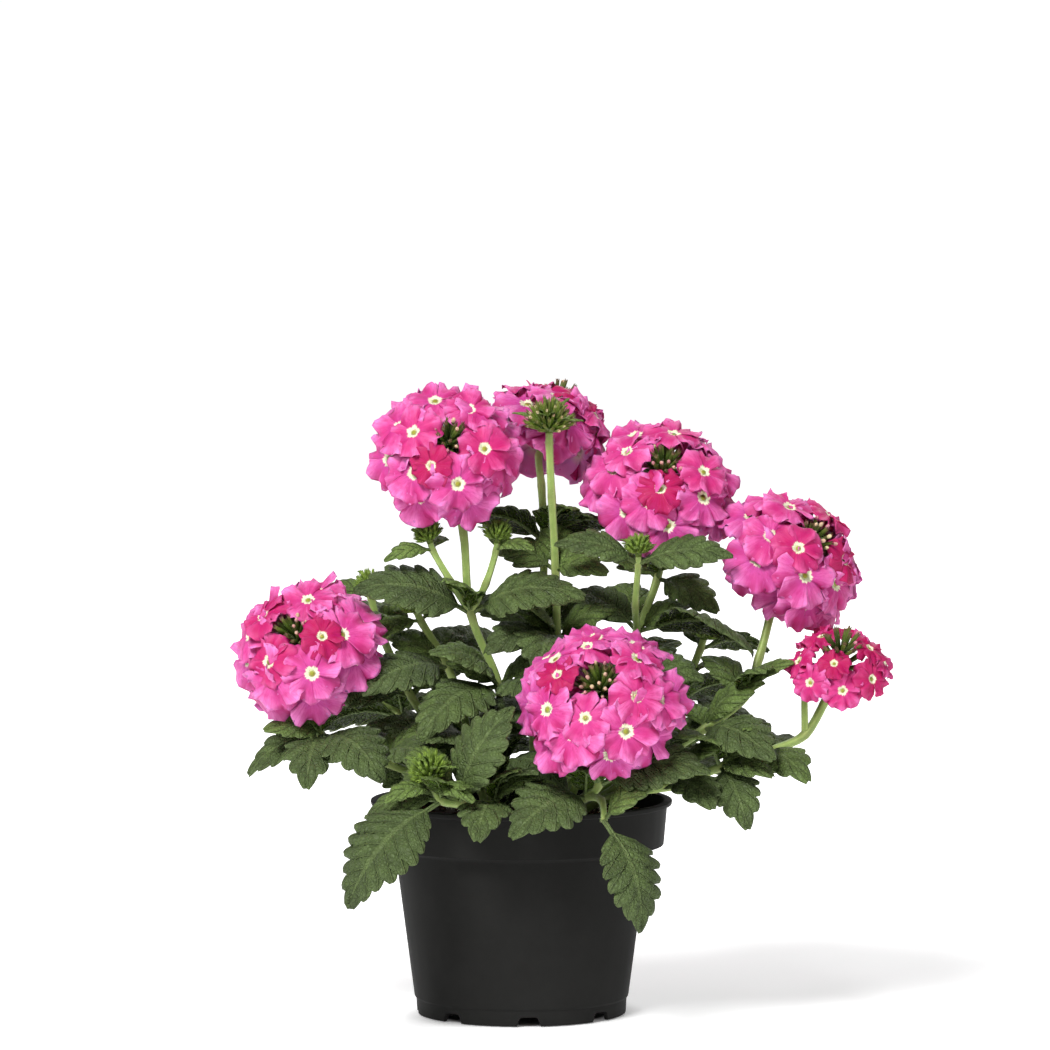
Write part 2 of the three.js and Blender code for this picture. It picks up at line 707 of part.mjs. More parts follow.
// A solid of rings about a head's axis, pointed at both ends. A ring's even corners may reach
// further than its odd ones, which makes the points of crowded calyces.
function crownSolid(frame, centre, columns, bottom, rings, top) {
  const points = [inFrame(frame, centre, 0, 0, bottom)];
  rings.forEach(({ peaks, dips, turned }) => {
    for (let k = 0; k < columns; k += 1) {
      const raised = (k + (turned ? 1 : 0)) % 2 === 0;
      const [radius, height] = raised || !dips ? peaks : dips;
      points.push(inFrame(frame, centre, (k / columns) * 2 * Math.PI, radius, height));
    }
  });
  const last = points.push(inFrame(frame, centre, 0, 0, top)) - 1;
  const corner = (ring, k) => 1 + ring * columns + (k % columns);
  const triangles = [];
  for (let k = 0; k < columns; k += 1) {
    triangles.push([0, corner(0, k + 1), corner(0, k)]);
    triangles.push([last, corner(rings.length - 1, k), corner(rings.length - 1, k + 1)]);
    for (let ring = 1; ring < rings.length; ring += 1) {
      triangles.push([corner(ring - 1, k), corner(ring - 1, k + 1), corner(ring, k)]);
      triangles.push([corner(ring - 1, k + 1), corner(ring, k + 1), corner(ring, k)]);
    }
  }
  return solidFrom(points, triangles);
}

// The green middle of an open head: a stalk, a star of old calyces under the ring of tubes, a
// neck through the ring, and a tuft of young calyces on top, which is wider on a young head.
function calyxCluster(head) {
  const frame = headFrame(head.facing);
  const young = head.inner === 0;
  return crownSolid(frame, vector(head.at), 10, -HEAD_STALK_LENGTH, [
    { peaks: [HEAD_STALK_RADIUS, -HEAD_STALK_LENGTH] },
    { peaks: [13, -10], dips: [5, -9.2] },
    { peaks: [HEAD_NECK_RADIUS, -8] },
    { peaks: [HEAD_NECK_RADIUS, 2.6] },
    { peaks: [young ? 6.5 : 3, 14], dips: [young ? 2.5 : 1.8, 7] },
  ], young ? 12 : 8);
}

// A head of closed buds: a stub on the end of the stem, under a dome of pointed calyces.
function budHead(foot, buds) {
  const frame = headFrame(buds.facing);
  const size = buds.radius;
  return crownSolid(frame, foot, buds.columns, CLEARANCE, [
    { peaks: [1.3, CLEARANCE] },
    { peaks: [size, size * 0.35], dips: [size * 0.5, size * 0.4] },
    { peaks: [size * 0.85, size * 0.9], dips: [size * 0.5, size * 0.6], turned: true },
    { peaks: [size * 0.4, size * 1.15], dips: [size * 0.25, size * 0.85] },
  ], size * 0.95);
}

// ---------------------------------------------------------------- materials

const potPlastic = new THREE.MeshStandardMaterial({ color: '#1c1d20', roughness: 0.45, metalness: 0 });
const pottingMix = new THREE.MeshStandardMaterial({ color: '#4a2c20', roughness: 1, metalness: 0 });
const leafGreen = new THREE.MeshStandardMaterial({ color: '#456338', roughness: 0.6, metalness: 0 });
const calyxGreen = new THREE.MeshStandardMaterial({ color: '#6d8a3c', roughness: 0.7, metalness: 0 });
const petalPink = new THREE.MeshStandardMaterial({ color: '#e8479b', roughness: 0.5, metalness: 0 });

// ---------------------------------------------------------------- assembly

const verbena = new THREE.Group();
const random = randomStream(9);
verbena.add(namedMesh('pot', potSolid(), potPlastic));
verbena.add(namedMesh('potting_mix', mixSolid(randomStream(3)), pottingMix));

STEMS.forEach((stem) => {
  const solids = [];
  const grow = (shoot, start, thickness) => {
    const places = shoot.joints.map((joint) => vector(joint.at));
    const route = start ? [start, ...places] : [...places];
    if (shoot.head) {
      const { axis } = headFrame(shoot.head.facing);
      const end = vector(shoot.head.at).addScaledVector(axis, -HEAD_STALK_LENGTH - CLEARANCE);
      route.push(end.clone().addScaledVector(axis, -STEM_END), end);
    }
    if (shoot.buds) {
      const end = places[places.length - 1].clone();
      route.push(end.addScaledVector(headFrame(shoot.buds.facing).axis, STEM_END));
    }
    const path = new JointedPath(route, false, 'centripetal');
    solids.push(stemSolid(path, thickness, route.length - 1));
    shoot.joints.forEach((joint) => {
      (joint.leaves ?? []).forEach((leaf) => {
        const twist = (random() - 0.5) * LEAF_TWIST_DEGREES;
        const roll = THREE.MathUtils.degToRad((leaf[3] ?? leafFacing(joint.at, leaf)) + twist);
        solids.push(leafSolid(vector(joint.at), vector(leaf), roll));
      });
    });
    if (shoot.buds) {
      const end = route[route.length - 1];
      verbena.add(namedMesh(`buds_${shoot.buds.name}`, budHead(end, shoot.buds), calyxGreen));
    }
    if (shoot.head) {
      verbena.add(namedMesh(`florets_${shoot.head.name}`, floretHead(shoot.head, random), petalPink));
      verbena.add(namedMesh(`calyces_${shoot.head.name}`, calyxCluster(shoot.head), calyxGreen));
    }
  };
  const foot = vector(stem.joints[0].at);
  const rootFoot = foot.clone().setZ(MIX_TOP - HOLE_DEPTH + CLEARANCE);
  const rootTop = foot.clone().setZ(foot.z + 1);
  solids.push(stemSolid(new THREE.LineCurve3(rootFoot, rootTop), MAIN_STEM, 1));
  grow(stem, null, MAIN_STEM);
  (stem.shoots ?? []).forEach((shoot) => grow(shoot, vector(stem.joints[shoot.from].at), SIDE_STEM));
  verbena.add(namedMesh(stem.name, fused(solids), leafGreen));
});

export default verbena;
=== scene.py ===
"""A garden verbena in bloom, growing in a black 12 cm nursery pot.

The plan of the plant is in millimetres, as a grower would measure it, with the front towards -Y
and +Z up. Meshes are written in metres. The sections follow the order in which the thing is put
together: the camera, the pot, its potting mix, the leafy stems, the flower heads and the buds.
"""

import math

import bpy
import numpy as np
from mathutils import Matrix, Vector, noise


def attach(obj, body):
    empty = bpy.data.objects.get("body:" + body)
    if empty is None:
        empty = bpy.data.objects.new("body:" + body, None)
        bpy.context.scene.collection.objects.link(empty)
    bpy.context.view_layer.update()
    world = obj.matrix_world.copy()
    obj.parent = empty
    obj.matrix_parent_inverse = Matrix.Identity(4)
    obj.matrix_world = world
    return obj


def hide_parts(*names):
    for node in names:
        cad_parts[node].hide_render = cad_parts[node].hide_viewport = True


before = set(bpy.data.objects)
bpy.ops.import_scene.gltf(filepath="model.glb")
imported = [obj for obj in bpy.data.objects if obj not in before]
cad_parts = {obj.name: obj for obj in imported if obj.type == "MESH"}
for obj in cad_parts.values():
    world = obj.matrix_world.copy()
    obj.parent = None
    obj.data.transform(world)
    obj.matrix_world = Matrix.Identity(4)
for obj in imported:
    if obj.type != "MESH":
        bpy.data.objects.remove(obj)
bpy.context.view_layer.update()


# ---------------------------------------------------------------- camera
# A long lens on a stand 2.3 m in front of the pot and a little above it, tipped down by under
# four degrees, so that the pot's rim shows as a narrow ellipse.

CAMERA_PLACE = (0.0014, -2.300, 0.345)
CAMERA_AIM = (0.0014, 0.0, 0.1942)
LENS_MM = 199.3

lens = bpy.data.cameras.new("camera")
lens.lens = LENS_MM
lens.sensor_width = 36.0
lens.clip_end = 200.0
camera = bpy.data.objects.new("camera", lens)
bpy.context.collection.objects.link(camera)
camera.location = CAMERA_PLACE
sight = Vector(CAMERA_AIM) - Vector(CAMERA_PLACE)
camera.rotation_euler = sight.to_track_quat("-Z", "Y").to_euler()
bpy.context.scene.camera = camera


# ---------------------------------------------------------------- nursery pot
# A thin-walled pot of carbon-black polypropylene, injection moulded. It has a foot ring with
# eight drain notches, a tapering body, and a stiff collar under a flat rolled rim.

MM = 0.001
POT_HEIGHT = 85.0
RIM_RADIUS = 60.0
COLLAR_TOP_RADIUS = 58.0
COLLAR_FOOT_RADIUS = 56.6
COLLAR_FOOT = 67.0
BODY_TOP_RADIUS = 50.4
BODY_FOOT_RADIUS = 42.6
FOOT_RADIUS = 41.6
FOOT_RING_WIDTH = 2.0
FOOT_HEIGHT = 6.0
CENTRE_FOOT_RADIUS = 12.0
DRAIN_CHANNEL_HEIGHT = 2.2
WALL = 1.2
RIM_THICKNESS = 1.8
SHOULDER_HEIGHT = 1.5
SHOULDER_WIDTH = 1.6
FOOT_STEP = 0.8
NEAR_AXIS = 0.01
DRAIN_NOTCHES = 8
NOTCH_HEIGHT = 3.7
NOTCH_FOOT_WIDTH = 10.0
NOTCH_TOP_WIDTH = 6.6
NOTCH_CORNER = 1.1
NOTCH_REACH = (-6, 8)
FIRST_NOTCH_DEGREES = -41.0
SHARP_DEGREES = 40
POT_TURNS = 128


def linear(colour):
    """A colour from its sRGB hex to the linear values that a shader takes."""
    channels = [int(colour[k:k + 2], 16) / 255 for k in (1, 3, 5)]
    curve = [c / 12.92 if c <= 0.04045 else ((c + 0.055) / 1.055) ** 2.4 for c in channels]
    return (*curve, 1.0)


def add_node(tree, kind, sockets=(), **settings):
    """Adds a shader node, with its settings, and fills or links its sockets.

    The sockets are listed in order, or told by name or number in a dict. A node that is given
    for a socket stands for the first of its outputs that is in use.
    """
    node = tree.nodes.new("ShaderNode" + kind)
    for key, value in settings.items():
        setattr(node, key, value)
    for key, value in sockets.items() if isinstance(sockets, dict) else enumerate(sockets):
        if isinstance(value, bpy.types.Node):
            value = next(result for result in value.outputs if result.enabled)
        if isinstance(value, bpy.types.NodeSocket):
            tree.links.new(value, node.inputs[key])
        else:
            node.inputs[key].default_value = value
    return node


def new_material(name):
    """An empty node material, and its tree."""
    material = bpy.data.materials.new(name)
    material.use_nodes = True
    material.node_tree.nodes.clear()
    return material, material.node_tree


def mesh_piece(name, points, faces, materials, slots=None, values=None):
    """A smooth mesh object from points in millimetres, with values at them for its materials."""
    mesh = bpy.data.meshes.new(name)
    mesh.from_pydata((np.asarray(points) * MM).tolist(), [], faces)
    for material in materials:
        mesh.materials.append(material)
    if slots is not None:
        mesh.polygons.foreach_set("material_index", np.asarray(slots, dtype=np.int32))
    for key, data in (values or {}).items():
        layer = mesh.attributes.new(key, "FLOAT_VECTOR", "POINT")
        layer.data.foreach_set("vector", np.asarray(data, dtype=np.float32).ravel())
    mesh.polygons.foreach_set("use_smooth", np.ones(len(mesh.polygons), dtype=bool))
    mesh.update()
    piece = bpy.data.objects.new(name, mesh)
    bpy.context.collection.objects.link(piece)
    return piece


def turned(profile, turns):
    """Points and faces of a closed profile of radii and heights, turned about the pot's axis."""
    points, faces = [], []
    for k in range(turns):
        angle = 2 * math.pi * k / turns
        points += [(r * math.cos(angle), r * math.sin(angle), z) for r, z in profile]
    count = len(profile)
    for k in range(turns):
        here, there = k * count, ((k + 1) % turns) * count
        for j in range(count):
            after = (j + 1) % count
            faces.append((here + j, there + j, there + after, here + after))
    return points, faces


def rounded(corners, radius=0.4, steps=3):
    """A closed outline with each corner replaced by a short arc."""
    outline = []
    for k, corner in enumerate(corners):
        corner = Vector(corner)
        before, after = Vector(corners[k - 1]), Vector(corners[(k + 1) % len(corners)])
        back, on = before - corner, after - corner
        reach = min(radius, back.length * 0.45, on.length * 0.45)
        start, end = corner + back.normalized() * reach, corner + on.normalized() * reach
        for j in range(steps + 1):
            t = j / steps
            point = start * (1 - t) ** 2 + corner * 2 * t * (1 - t) + end * t ** 2
            outline.append((max(point.x, NEAR_AXIS), point.y))
    return outline


floor_top = DRAIN_CHANNEL_HEIGHT + WALL
pot_profile = rounded([
    (NEAR_AXIS, 0),
    (CENTRE_FOOT_RADIUS, 0),
    (CENTRE_FOOT_RADIUS + 2, DRAIN_CHANNEL_HEIGHT),
    (FOOT_RADIUS - FOOT_RING_WIDTH, DRAIN_CHANNEL_HEIGHT),
    (FOOT_RADIUS - FOOT_RING_WIDTH, 0),
    (FOOT_RADIUS, 0),
    (FOOT_RADIUS + 0.3, FOOT_HEIGHT),
    (BODY_FOOT_RADIUS, FOOT_HEIGHT + FOOT_STEP),
    (BODY_TOP_RADIUS, COLLAR_FOOT - SHOULDER_HEIGHT),
    (BODY_TOP_RADIUS + SHOULDER_WIDTH, COLLAR_FOOT),
    (COLLAR_FOOT_RADIUS, COLLAR_FOOT + 0.2),
    (COLLAR_TOP_RADIUS, POT_HEIGHT - RIM_THICKNESS - 0.4),
    (RIM_RADIUS - 0.2, POT_HEIGHT - RIM_THICKNESS),
    (RIM_RADIUS, POT_HEIGHT),
    (COLLAR_TOP_RADIUS - WALL, POT_HEIGHT),
    (COLLAR_FOOT_RADIUS - WALL, COLLAR_FOOT + WALL),
    (BODY_TOP_RADIUS - WALL, COLLAR_FOOT + WALL),
    (BODY_FOOT_RADIUS - WALL, floor_top),
    (NEAR_AXIS, floor_top),
])
points, faces = turned(pot_profile, POT_TURNS)

moulded, tree = new_material("black_polypropylene_moulded")
# Carbon-black polypropylene, satin from the mould. Faint upright flow marks vary its gloss, over a
# fine grain of about 0.4 mm, drawn a little coarse so that it shows. Patches of dust make it greyer.
place = add_node(tree, "TexCoord").outputs["Object"]
upright = add_node(tree, "Mapping", {"Vector": place, "Scale": (1.0, 1.0, 0.08)})
flow = add_node(tree, "TexNoise", {"Vector": upright, "Scale": 90.0, "Detail": 3.0})
grain = add_node(tree, "TexNoise", {"Vector": place, "Scale": 2200.0, "Detail": 2.0})
dust = add_node(tree, "TexNoise", {"Vector": place, "Scale": 35.0, "Detail": 5.0, "Roughness": 0.6})
dusty = add_node(tree, "MapRange", [dust, 0.45, 0.75, 0.0, 0.35])
black = add_node(tree, "Mix", {0: dusty, 6: linear("#232322"), 7: linear("#2D2D2C")}, data_type="RGBA")
satin = add_node(tree, "MapRange", [flow, 0.3, 0.7, 0.5, 0.6])
bump = add_node(tree, "Bump", {"Height": grain, "Strength": 0.10, "Distance": 0.0002})
bump = add_node(tree, "Bump", {"Height": flow, "Strength": 0.12, "Distance": 0.0006, "Normal": bump})
shader = add_node(tree, "BsdfPrincipled", {
    "Base Color": black, "Roughness": satin, "IOR": 1.49, "Specular IOR Level": 0.03, "Normal": bump})
add_node(tree, "OutputMaterial", [shader])

pot = mesh_piece("nursery_pot", points, faces, [moulded])

# Each drain notch is cut through the foot ring and the edge of the floor behind it. Its arch is
# drawn well off the axis, since rounded() takes radii, and set over the notch's middle after.
OFF_AXIS = 20
foot, top = NOTCH_FOOT_WIDTH / 2, NOTCH_TOP_WIDTH / 2
arch = rounded([
    (OFF_AXIS - foot, -2),
    (OFF_AXIS + foot, -2),
    (OFF_AXIS + foot - 0.6, 1.2),
    (OFF_AXIS + top, NOTCH_HEIGHT),
    (OFF_AXIS - top, NOTCH_HEIGHT),
    (OFF_AXIS - foot + 0.6, 1.2),
], radius=NOTCH_CORNER)
for k in range(DRAIN_NOTCHES):
    turn = Matrix.Rotation(math.radians(FIRST_NOTCH_DEGREES + 360 / DRAIN_NOTCHES * k), 3, "Z")
    ends = [[turn @ Vector((x - OFF_AXIS, y - FOOT_RADIUS, z)) for x, z in arch] for y in NOTCH_REACH]
    count = len(arch)
    cutter_faces = [tuple(range(count)), tuple(range(2 * count - 1, count - 1, -1))]
    for j in range(count):
        after = (j + 1) % count
        cutter_faces.append((after, j, count + j, count + after))
    cutter = mesh_piece(f"notch_{k}", ends[0] + ends[1], cutter_faces, [])
    cut = pot.modifiers.new("notch", "BOOLEAN")
    cut.operation = "DIFFERENCE"
    cut.solver = "EXACT"
    cut.object = cutter
    bpy.context.view_layer.objects.active = pot
    bpy.ops.object.modifier_apply(modifier=cut.name)
    bpy.data.objects.remove(cutter, do_unlink=True)
pot.data.set_sharp_from_angle(angle=math.radians(SHARP_DEGREES))

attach(pot, "root")
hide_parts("pot")


# ---------------------------------------------------------------- potting mix
# Loose reddish peat with crumbs of bark, filled to 7 mm below the rim. Its top is heaped unevenly
# round the stems.

CLEARANCE = 0.3
MIX_TOP = 78.0
MIX_RINGS = 30
MIX_TURNS = 90
HEAP_HEIGHT = 1.3
HEAP_WIDTH = 9
LUMP_HEIGHT = 0.9
LUMP_WIDTH = 2.4
CRUMBS = 1000
SMALLEST_CRUMB = 0.5
LARGEST_CRUMB = 2.6


def random_stream(seed):
    """A repeatable stream of numbers from 0 to 1."""
    state = seed
    while True:
        state = (state * 1664525 + 1013904223) % 4294967296
        yield state / 4294967296


mix_edge = COLLAR_FOOT_RADIUS - WALL - CLEARANCE
ledge = COLLAR_FOOT + WALL + CLEARANCE
heap = [
    (NEAR_AXIS, floor_top + CLEARANCE),
    (BODY_FOOT_RADIUS - WALL - 2 * CLEARANCE, floor_top + CLEARANCE),
    (BODY_TOP_RADIUS - WALL - 2 * CLEARANCE, ledge),
    (mix_edge, ledge),
    (mix_edge, MIX_TOP - 2),
]
for k in range(1, MIX_RINGS + 1):
    heap.append((mix_edge * (1 - k / MIX_RINGS) + NEAR_AXIS, MIX_TOP - 0.2))
points, faces = turned(heap, MIX_TURNS)
points = [list(p) for p in points]
for p in points:
    if p[2] > MIX_TOP - 1:
        rise = HEAP_HEIGHT * noise.noise(Vector(p) / HEAP_WIDTH)
        p[2] += rise + LUMP_HEIGHT * noise.noise(Vector(p) / LUMP_WIDTH)

# A crumb is a little twenty-sided shard, squashed and turned at random.
dice = random_stream(8)
shard = [Vector(corner).normalized() for corner in (
    (0, 0, 1), (0.9, 0, 0.45), (0.28, 0.85, 0.45), (-0.72, 0.53, 0.45), (-0.72, -0.53, 0.45),
    (0.28, -0.85, 0.45), (0.72, 0.53, -0.45), (-0.28, 0.85, -0.45), (-0.9, 0, -0.45),
    (-0.28, -0.85, -0.45), (0.72, -0.53, -0.45), (0, 0, -1))]
fives = [(1 + k, 1 + (k + 1) % 5, 6 + k, 6 + (k + 1) % 5) for k in range(5)]
shard_faces = [(0, a, b) for a, b, c, d in fives] + [(a, c, b) for a, b, c, d in fives]
shard_faces += [(c, d, b) for a, b, c, d in fives] + [(11, d, c) for a, b, c, d in fives]
tones = [(0.0, 0.0, 0.0)] * len(points)
for k in range(CRUMBS):
    radius = (mix_edge - 2.0) * math.sqrt(next(dice))
    angle = 2 * math.pi * next(dice)
    size = SMALLEST_CRUMB + (LARGEST_CRUMB - SMALLEST_CRUMB) * next(dice) ** 3
    middle = Vector((radius * math.cos(angle), radius * math.sin(angle), MIX_TOP - 0.1 + 0.3 * size))
    middle.z += HEAP_HEIGHT * noise.noise(middle / HEAP_WIDTH)
    squash = Vector((1.0 + next(dice), 0.7 + 0.5 * next(dice), 0.45 + 0.4 * next(dice))) * size / 2
    spin = Matrix.Rotation(6.3 * next(dice), 3, "Z") @ Matrix.Rotation(next(dice) - 0.5, 3, "X")
    first = len(points)
    for corner in shard:
        bumped = corner * (0.75 + 0.5 * next(dice))
        points.append(middle + spin @ Vector((bumped.x * squash.x, bumped.y * squash.y, bumped.z * squash.z)))
    faces += [tuple(first + j for j in face) for face in shard_faces]
    tones += [(next(dice), 1.0, 0.0)] * len(shard)

peat, tree = new_material("peat_and_bark_loose")
# Damp peat and milled bark: matt, from dark umber to fox red. Each crumb has its own tone.
place = add_node(tree, "TexCoord").outputs["Object"]
told = add_node(tree, "Attribute", attribute_name="crumb").outputs["Vector"]
tone = add_node(tree, "SeparateXYZ", [told])
fibres = add_node(tree, "TexNoise", {"Vector": place, "Scale": 900.0, "Detail": 6.0, "Roughness": 0.7})
patches = add_node(tree, "TexNoise", {"Vector": place, "Scale": 120.0, "Detail": 3.0})
mixed = add_node(tree, "Math", [tone, patches], operation="ADD")
mixed = add_node(tree, "MapRange", [mixed, 0.35, 1.5, 0.0, 1.0])
earth = add_node(tree, "ValToRGB", [mixed])
earth.color_ramp.elements[0].color = linear("#2A1710")
earth.color_ramp.elements[1].color = linear("#8A5A3E")
earth.color_ramp.elements.new(0.55).color = linear("#54301F")
bump = add_node(tree, "Bump", {"Height": fibres, "Strength": 0.8, "Distance": 0.0006})
shader = add_node(tree, "BsdfPrincipled", {"Base Color": earth, "Roughness": 0.95, "Normal": bump})
add_node(tree, "OutputMaterial", [shader])

mix = mesh_piece("potting_mix_heap", points, faces, [peat], values={"crumb": tones})
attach(mix, "root")
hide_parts("potting_mix")


# ---------------------------------------------------------------- plan of the plant
# Each stem is a list of joints from root to tip. A joint has its place, then the tips of its
# leaves, with a roll in degrees where one is turned. A shoot leaves its stem at a numbered joint.
# A stem ends in buds, or in florets in an outer and an inner ring. A young head has no inner one.

STEMS = {
    "stem_middle": {
        "joints": [
            ((-6, -8, 80),),
            ((-7, -9, 100), (-20, -50, 94), (17, -44, 93)),
            ((-9, -10, 131), (-40, -42, 113), (18, -44, 124), (-36, -32, 146)),
            ((-20, -12, 160), (-66, -21, 170), (25, -27, 168)),
            ((-23, -9, 192),),
            ((-28, -1, 212),),
        ],
        "head": {"name": "middle", "at": (-29, -16, 225), "facing": (0.05, -0.87, 0.48), "radius": 30.5},
        "rings": (8, 4),
        "shoots": [
            {
                "from": 3,
                "joints": [((-28, -14, 173),), ((-35, -12, 185), (-54, -20, 181), (-33, 10, 187))],
                "buds": {"name": "middle_left", "facing": (-0.3, -0.1, 0.95), "radius": 6},
            },
            {
                "from": 3,
                "joints": [((-14, -14, 172),), ((-10, -12, 185), (5, -26, 186), (-9, 7, 188))],
                "buds": {"name": "middle_right", "facing": (0.1, -0.1, 0.95), "radius": 6},
            },
        ],
    },
    "stem_back_middle": {
        "joints": [
            ((4, 14, 80),),
            ((5, 18, 108), (-24, 40, 112), (26, 48, 118)),
            ((8, 22, 150), (-22, 38, 160), (38, 22, 160)),
            ((9, 27, 186), (-20, 10, 196), (36, 10, 194)),
            ((8, 30, 208),),
        ],
        "head": {"name": "top", "at": (12, 36, 233), "facing": (0.35, 0.25, 0.9), "radius": 26},
        "rings": (6, 3),
    },
    "stem_tall": {
        "joints": [
            ((10, -4, 80),),
            ((12, -3, 112), (46, -30, 118), (-16, -34, 120)),
            ((14, -1, 148), (6, -42, 140), (30, 30, 133), (-14, -30, 146)),
            ((13.5, 0, 176), (34, -14, 176), (-10, 16, 184)),
            ((12, 1, 205),),
            ((11, 1, 227),),
        ],
        "buds": {"name": "tall", "facing": (0, -0.15, 1), "radius": 11},
    },
    "stem_right_middle": {
        "joints": [
            ((18, 4, 80),),
            ((26, 4, 100), (58, 20, 106), (22, -30, 96)),
            ((38, 2, 130), (66, 26, 138), (26, -36, 136), (72, -16, 134)),
            ((46, 0, 152), (91, -30, 146, -15), (20, 16, 166)),
            ((54, 9, 172), (78, -4, 160), (42, 38, 178)),
            ((57, 17, 190),),
        ],
        "head": {"name": "right_middle", "at": (56, 9, 211.5), "facing": (0.1, -0.7, 0.7), "radius": 32},
        "rings": (8, 3),
        "shoots": [
            {
                "from": 3,
                "joints": [((45, -11, 163),), ((46, -17, 180), (13, -22, 188), (83, -27, 184))],
                "buds": {"name": "right_middle_low", "facing": (0, -0.15, 1), "radius": 5.8},
            },
        ],
    },
    "stem_left": {
        "joints": [
            ((-16, -2, 80),),
            ((-32, -6, 91), (-45, -34, 90), (-58, 12, 93)),
            ((-54, -11, 101), (-66, 20, 106), (-34, -44, 104)),
            ((-79, -14, 112), (-101, -28, 115), (-54, -46, 97), (-108, -12, 96), (-84, -44, 94)),
            ((-81, -5, 130),),
        ],
        "head": {"name": "left", "at": (-86, -20, 148), "facing": (-0.33, -0.78, 0.53), "radius": 30.5},
        "rings": (8, 4),
    },
    "stem_left_back": {
        "joints": [
            ((-12, 10, 80),),
            ((-26, 18, 98), (-62, 28, 112)),
            ((-44, 18, 124), (-84, 26, 124), (-34, 46, 136)),
            ((-56, 14, 150), (-86, -2, 158), (-58, 46, 158)),
            ((-60, 14, 164), (-79, 27, 167), (-45, 1, 166)),
        ],
        "buds": {"name": "left_back", "facing": (-0.2, 0, 1), "radius": 5.5},
    },
    "stem_left_middle": {
        "joints": [
            ((-14, -12, 80),),
            ((-19, -9, 104), (-54, 2, 114), (-36, -44, 112)),
            ((-29, -5, 138), (-63, -28, 130), (-14, 26, 150)),
            ((-40, 1, 156), (-61, -8, 149), (-30, 19, 159)),
        ],
        "buds": {"name": "left_middle", "facing": (-0.4, 0, 0.9), "radius": 5},
    },
    "stem_front_left": {
        "joints": [
            ((-6, -26, 80),),
            ((-7, -37, 84), (7, -62, 103)),
            ((-11, -48, 88), (-5, -58, 108, 20), (-17, -82, 78)),
            ((-24, -57, 89.5), (-3, -64, 128, 60), (-46, -40, 100)),
            ((-31, -59, 91), (-67, -76, 51), (-60, -50, 84)),
            ((-34, -57, 96), (-18, -73, 92), (-53, -66, 91)),
        ],
        "buds": {"name": "front_left", "facing": (-0.2, -0.35, 0.9), "radius": 8.5},
    },
    "stem_front_right": {
        "joints": [
            ((6, -24, 80),),
            ((14, -35, 84),),
            ((25, -46, 91), (-4, -80, 79)),
            ((30, -50, 96), (73, -64, 103), (10, -66, 108)),
            ((31, -49, 112),),
        ],
        "head": {"name": "front", "at": (31, -62, 132), "facing": (-0.08, -0.8, 0.6), "radius": 36},
        "rings": (9, 5),
        "shoots": [
            {
                "from": 2,
                "joints": [((31, -57, 91),), ((32, -66, 84), (46, -77, 42))],
            },
        ],
    },
    "stem_right": {
        "joints": [
            ((24, -5, 80),),
            ((38, -11, 91), (48, -46, 101)),
            ((56, -17, 104), (60, 18, 110), (52, -52, 114)),
            ((72, -20, 115), (98, -52, 106), (86, 14, 118)),
            ((88, -15, 127), (96, -38, 140), (72, -2, 142)),
            ((94, -8, 142),),
            ((99, -1, 160),),
        ],
        "head": {"name": "right", "at": (110, 0, 183), "facing": (0.55, -0.55, 0.62), "radius": 33},
        "rings": (8, 4),
    },
    "stem_right_low": {
        "joints": [
            ((22, -16, 80),),
            ((40, -26, 90),),
            ((60, -31, 94), (74, -62, 88)),
            ((78, -30, 101), (98, -46, 99), (88, -52, 79)),
            ((96, -22, 106), (112, -44, 97), (104, 12, 104)),
            ((112, -13, 112),),
            ((121, -8, 126),),
        ],
        "head": {"name": "right_low", "at": (125, -24, 141.5), "facing": (0.05, -0.62, 0.78), "radius": 25.5},
        "rings": (6, 0),
        "shoots": [
            {
                "from": 5,
                "joints": [((112, -10, 129),)],
                "buds": {"name": "right_low", "facing": (0.1, 0, 1), "radius": 4},
            },
        ],
    },
    "stem_back_left": {
        "joints": [
            ((-8, 24, 80),),
            ((-20, 38, 94), (-54, 40, 90), (6, 66, 98)),
            ((-48, 52, 113), (-44, 84, 116), (-82, 42, 108)),
        ],
        "head": {"name": "back_left", "at": (-84, 66, 140), "facing": (-0.4, 0.75, 0.55), "radius": 28},
        "rings": (6, 2),
    },
    "stem_back_right": {
        "joints": [
            ((12, 25, 80),),
            ((24, 38, 92), (58, 42, 92), (18, 76, 84)),
            ((32, 52, 103), (68, 58, 106)),
        ],
        "head": {"name": "back_right", "at": (38, 74, 119), "facing": (0.3, 0.78, 0.55), "radius": 28},
        "rings": (6, 2),
    },
    "stem_right_back": {
        "joints": [
            ((26, 12, 80),),
            ((46, 24, 96), (84, 32, 92), (66, 2, 90)),
            ((62, 30, 120), (94, 30, 128), (68, 62, 127)),
            ((72, 32, 142), (100, 44, 140), (66, 57, 147)),
        ],
        "buds": {"name": "right_back", "facing": (0.3, 0.1, 1), "radius": 7},
    },
}


# ---------------------------------------------------------------- leafy stems
# Verbena stems are soft, green and four-sided, with a furrow on each face and short white hairs.
# Each grew as one piece: stem, side shoots, and pairs of toothed leaves at its joints.

MAIN_STEM = 3.4
SIDE_STEM = 2.7
STEM_END = 4.0
STEM_TAPER = 0.22
STEM_FURROW = 0.07
STEM_SQUARENESS = 3.2
STEM_STEPS = 7
STEM_SIDES = 12
HEAD_STALK_LENGTH = 10.0
ROOT_IN_MIX = 5.0
JOINT_SWELL = 0.22
STEM_HAIR_SPACING = 0.22
HAIR_LENGTH = 0.85
HAIR_WIDTH = 0.09

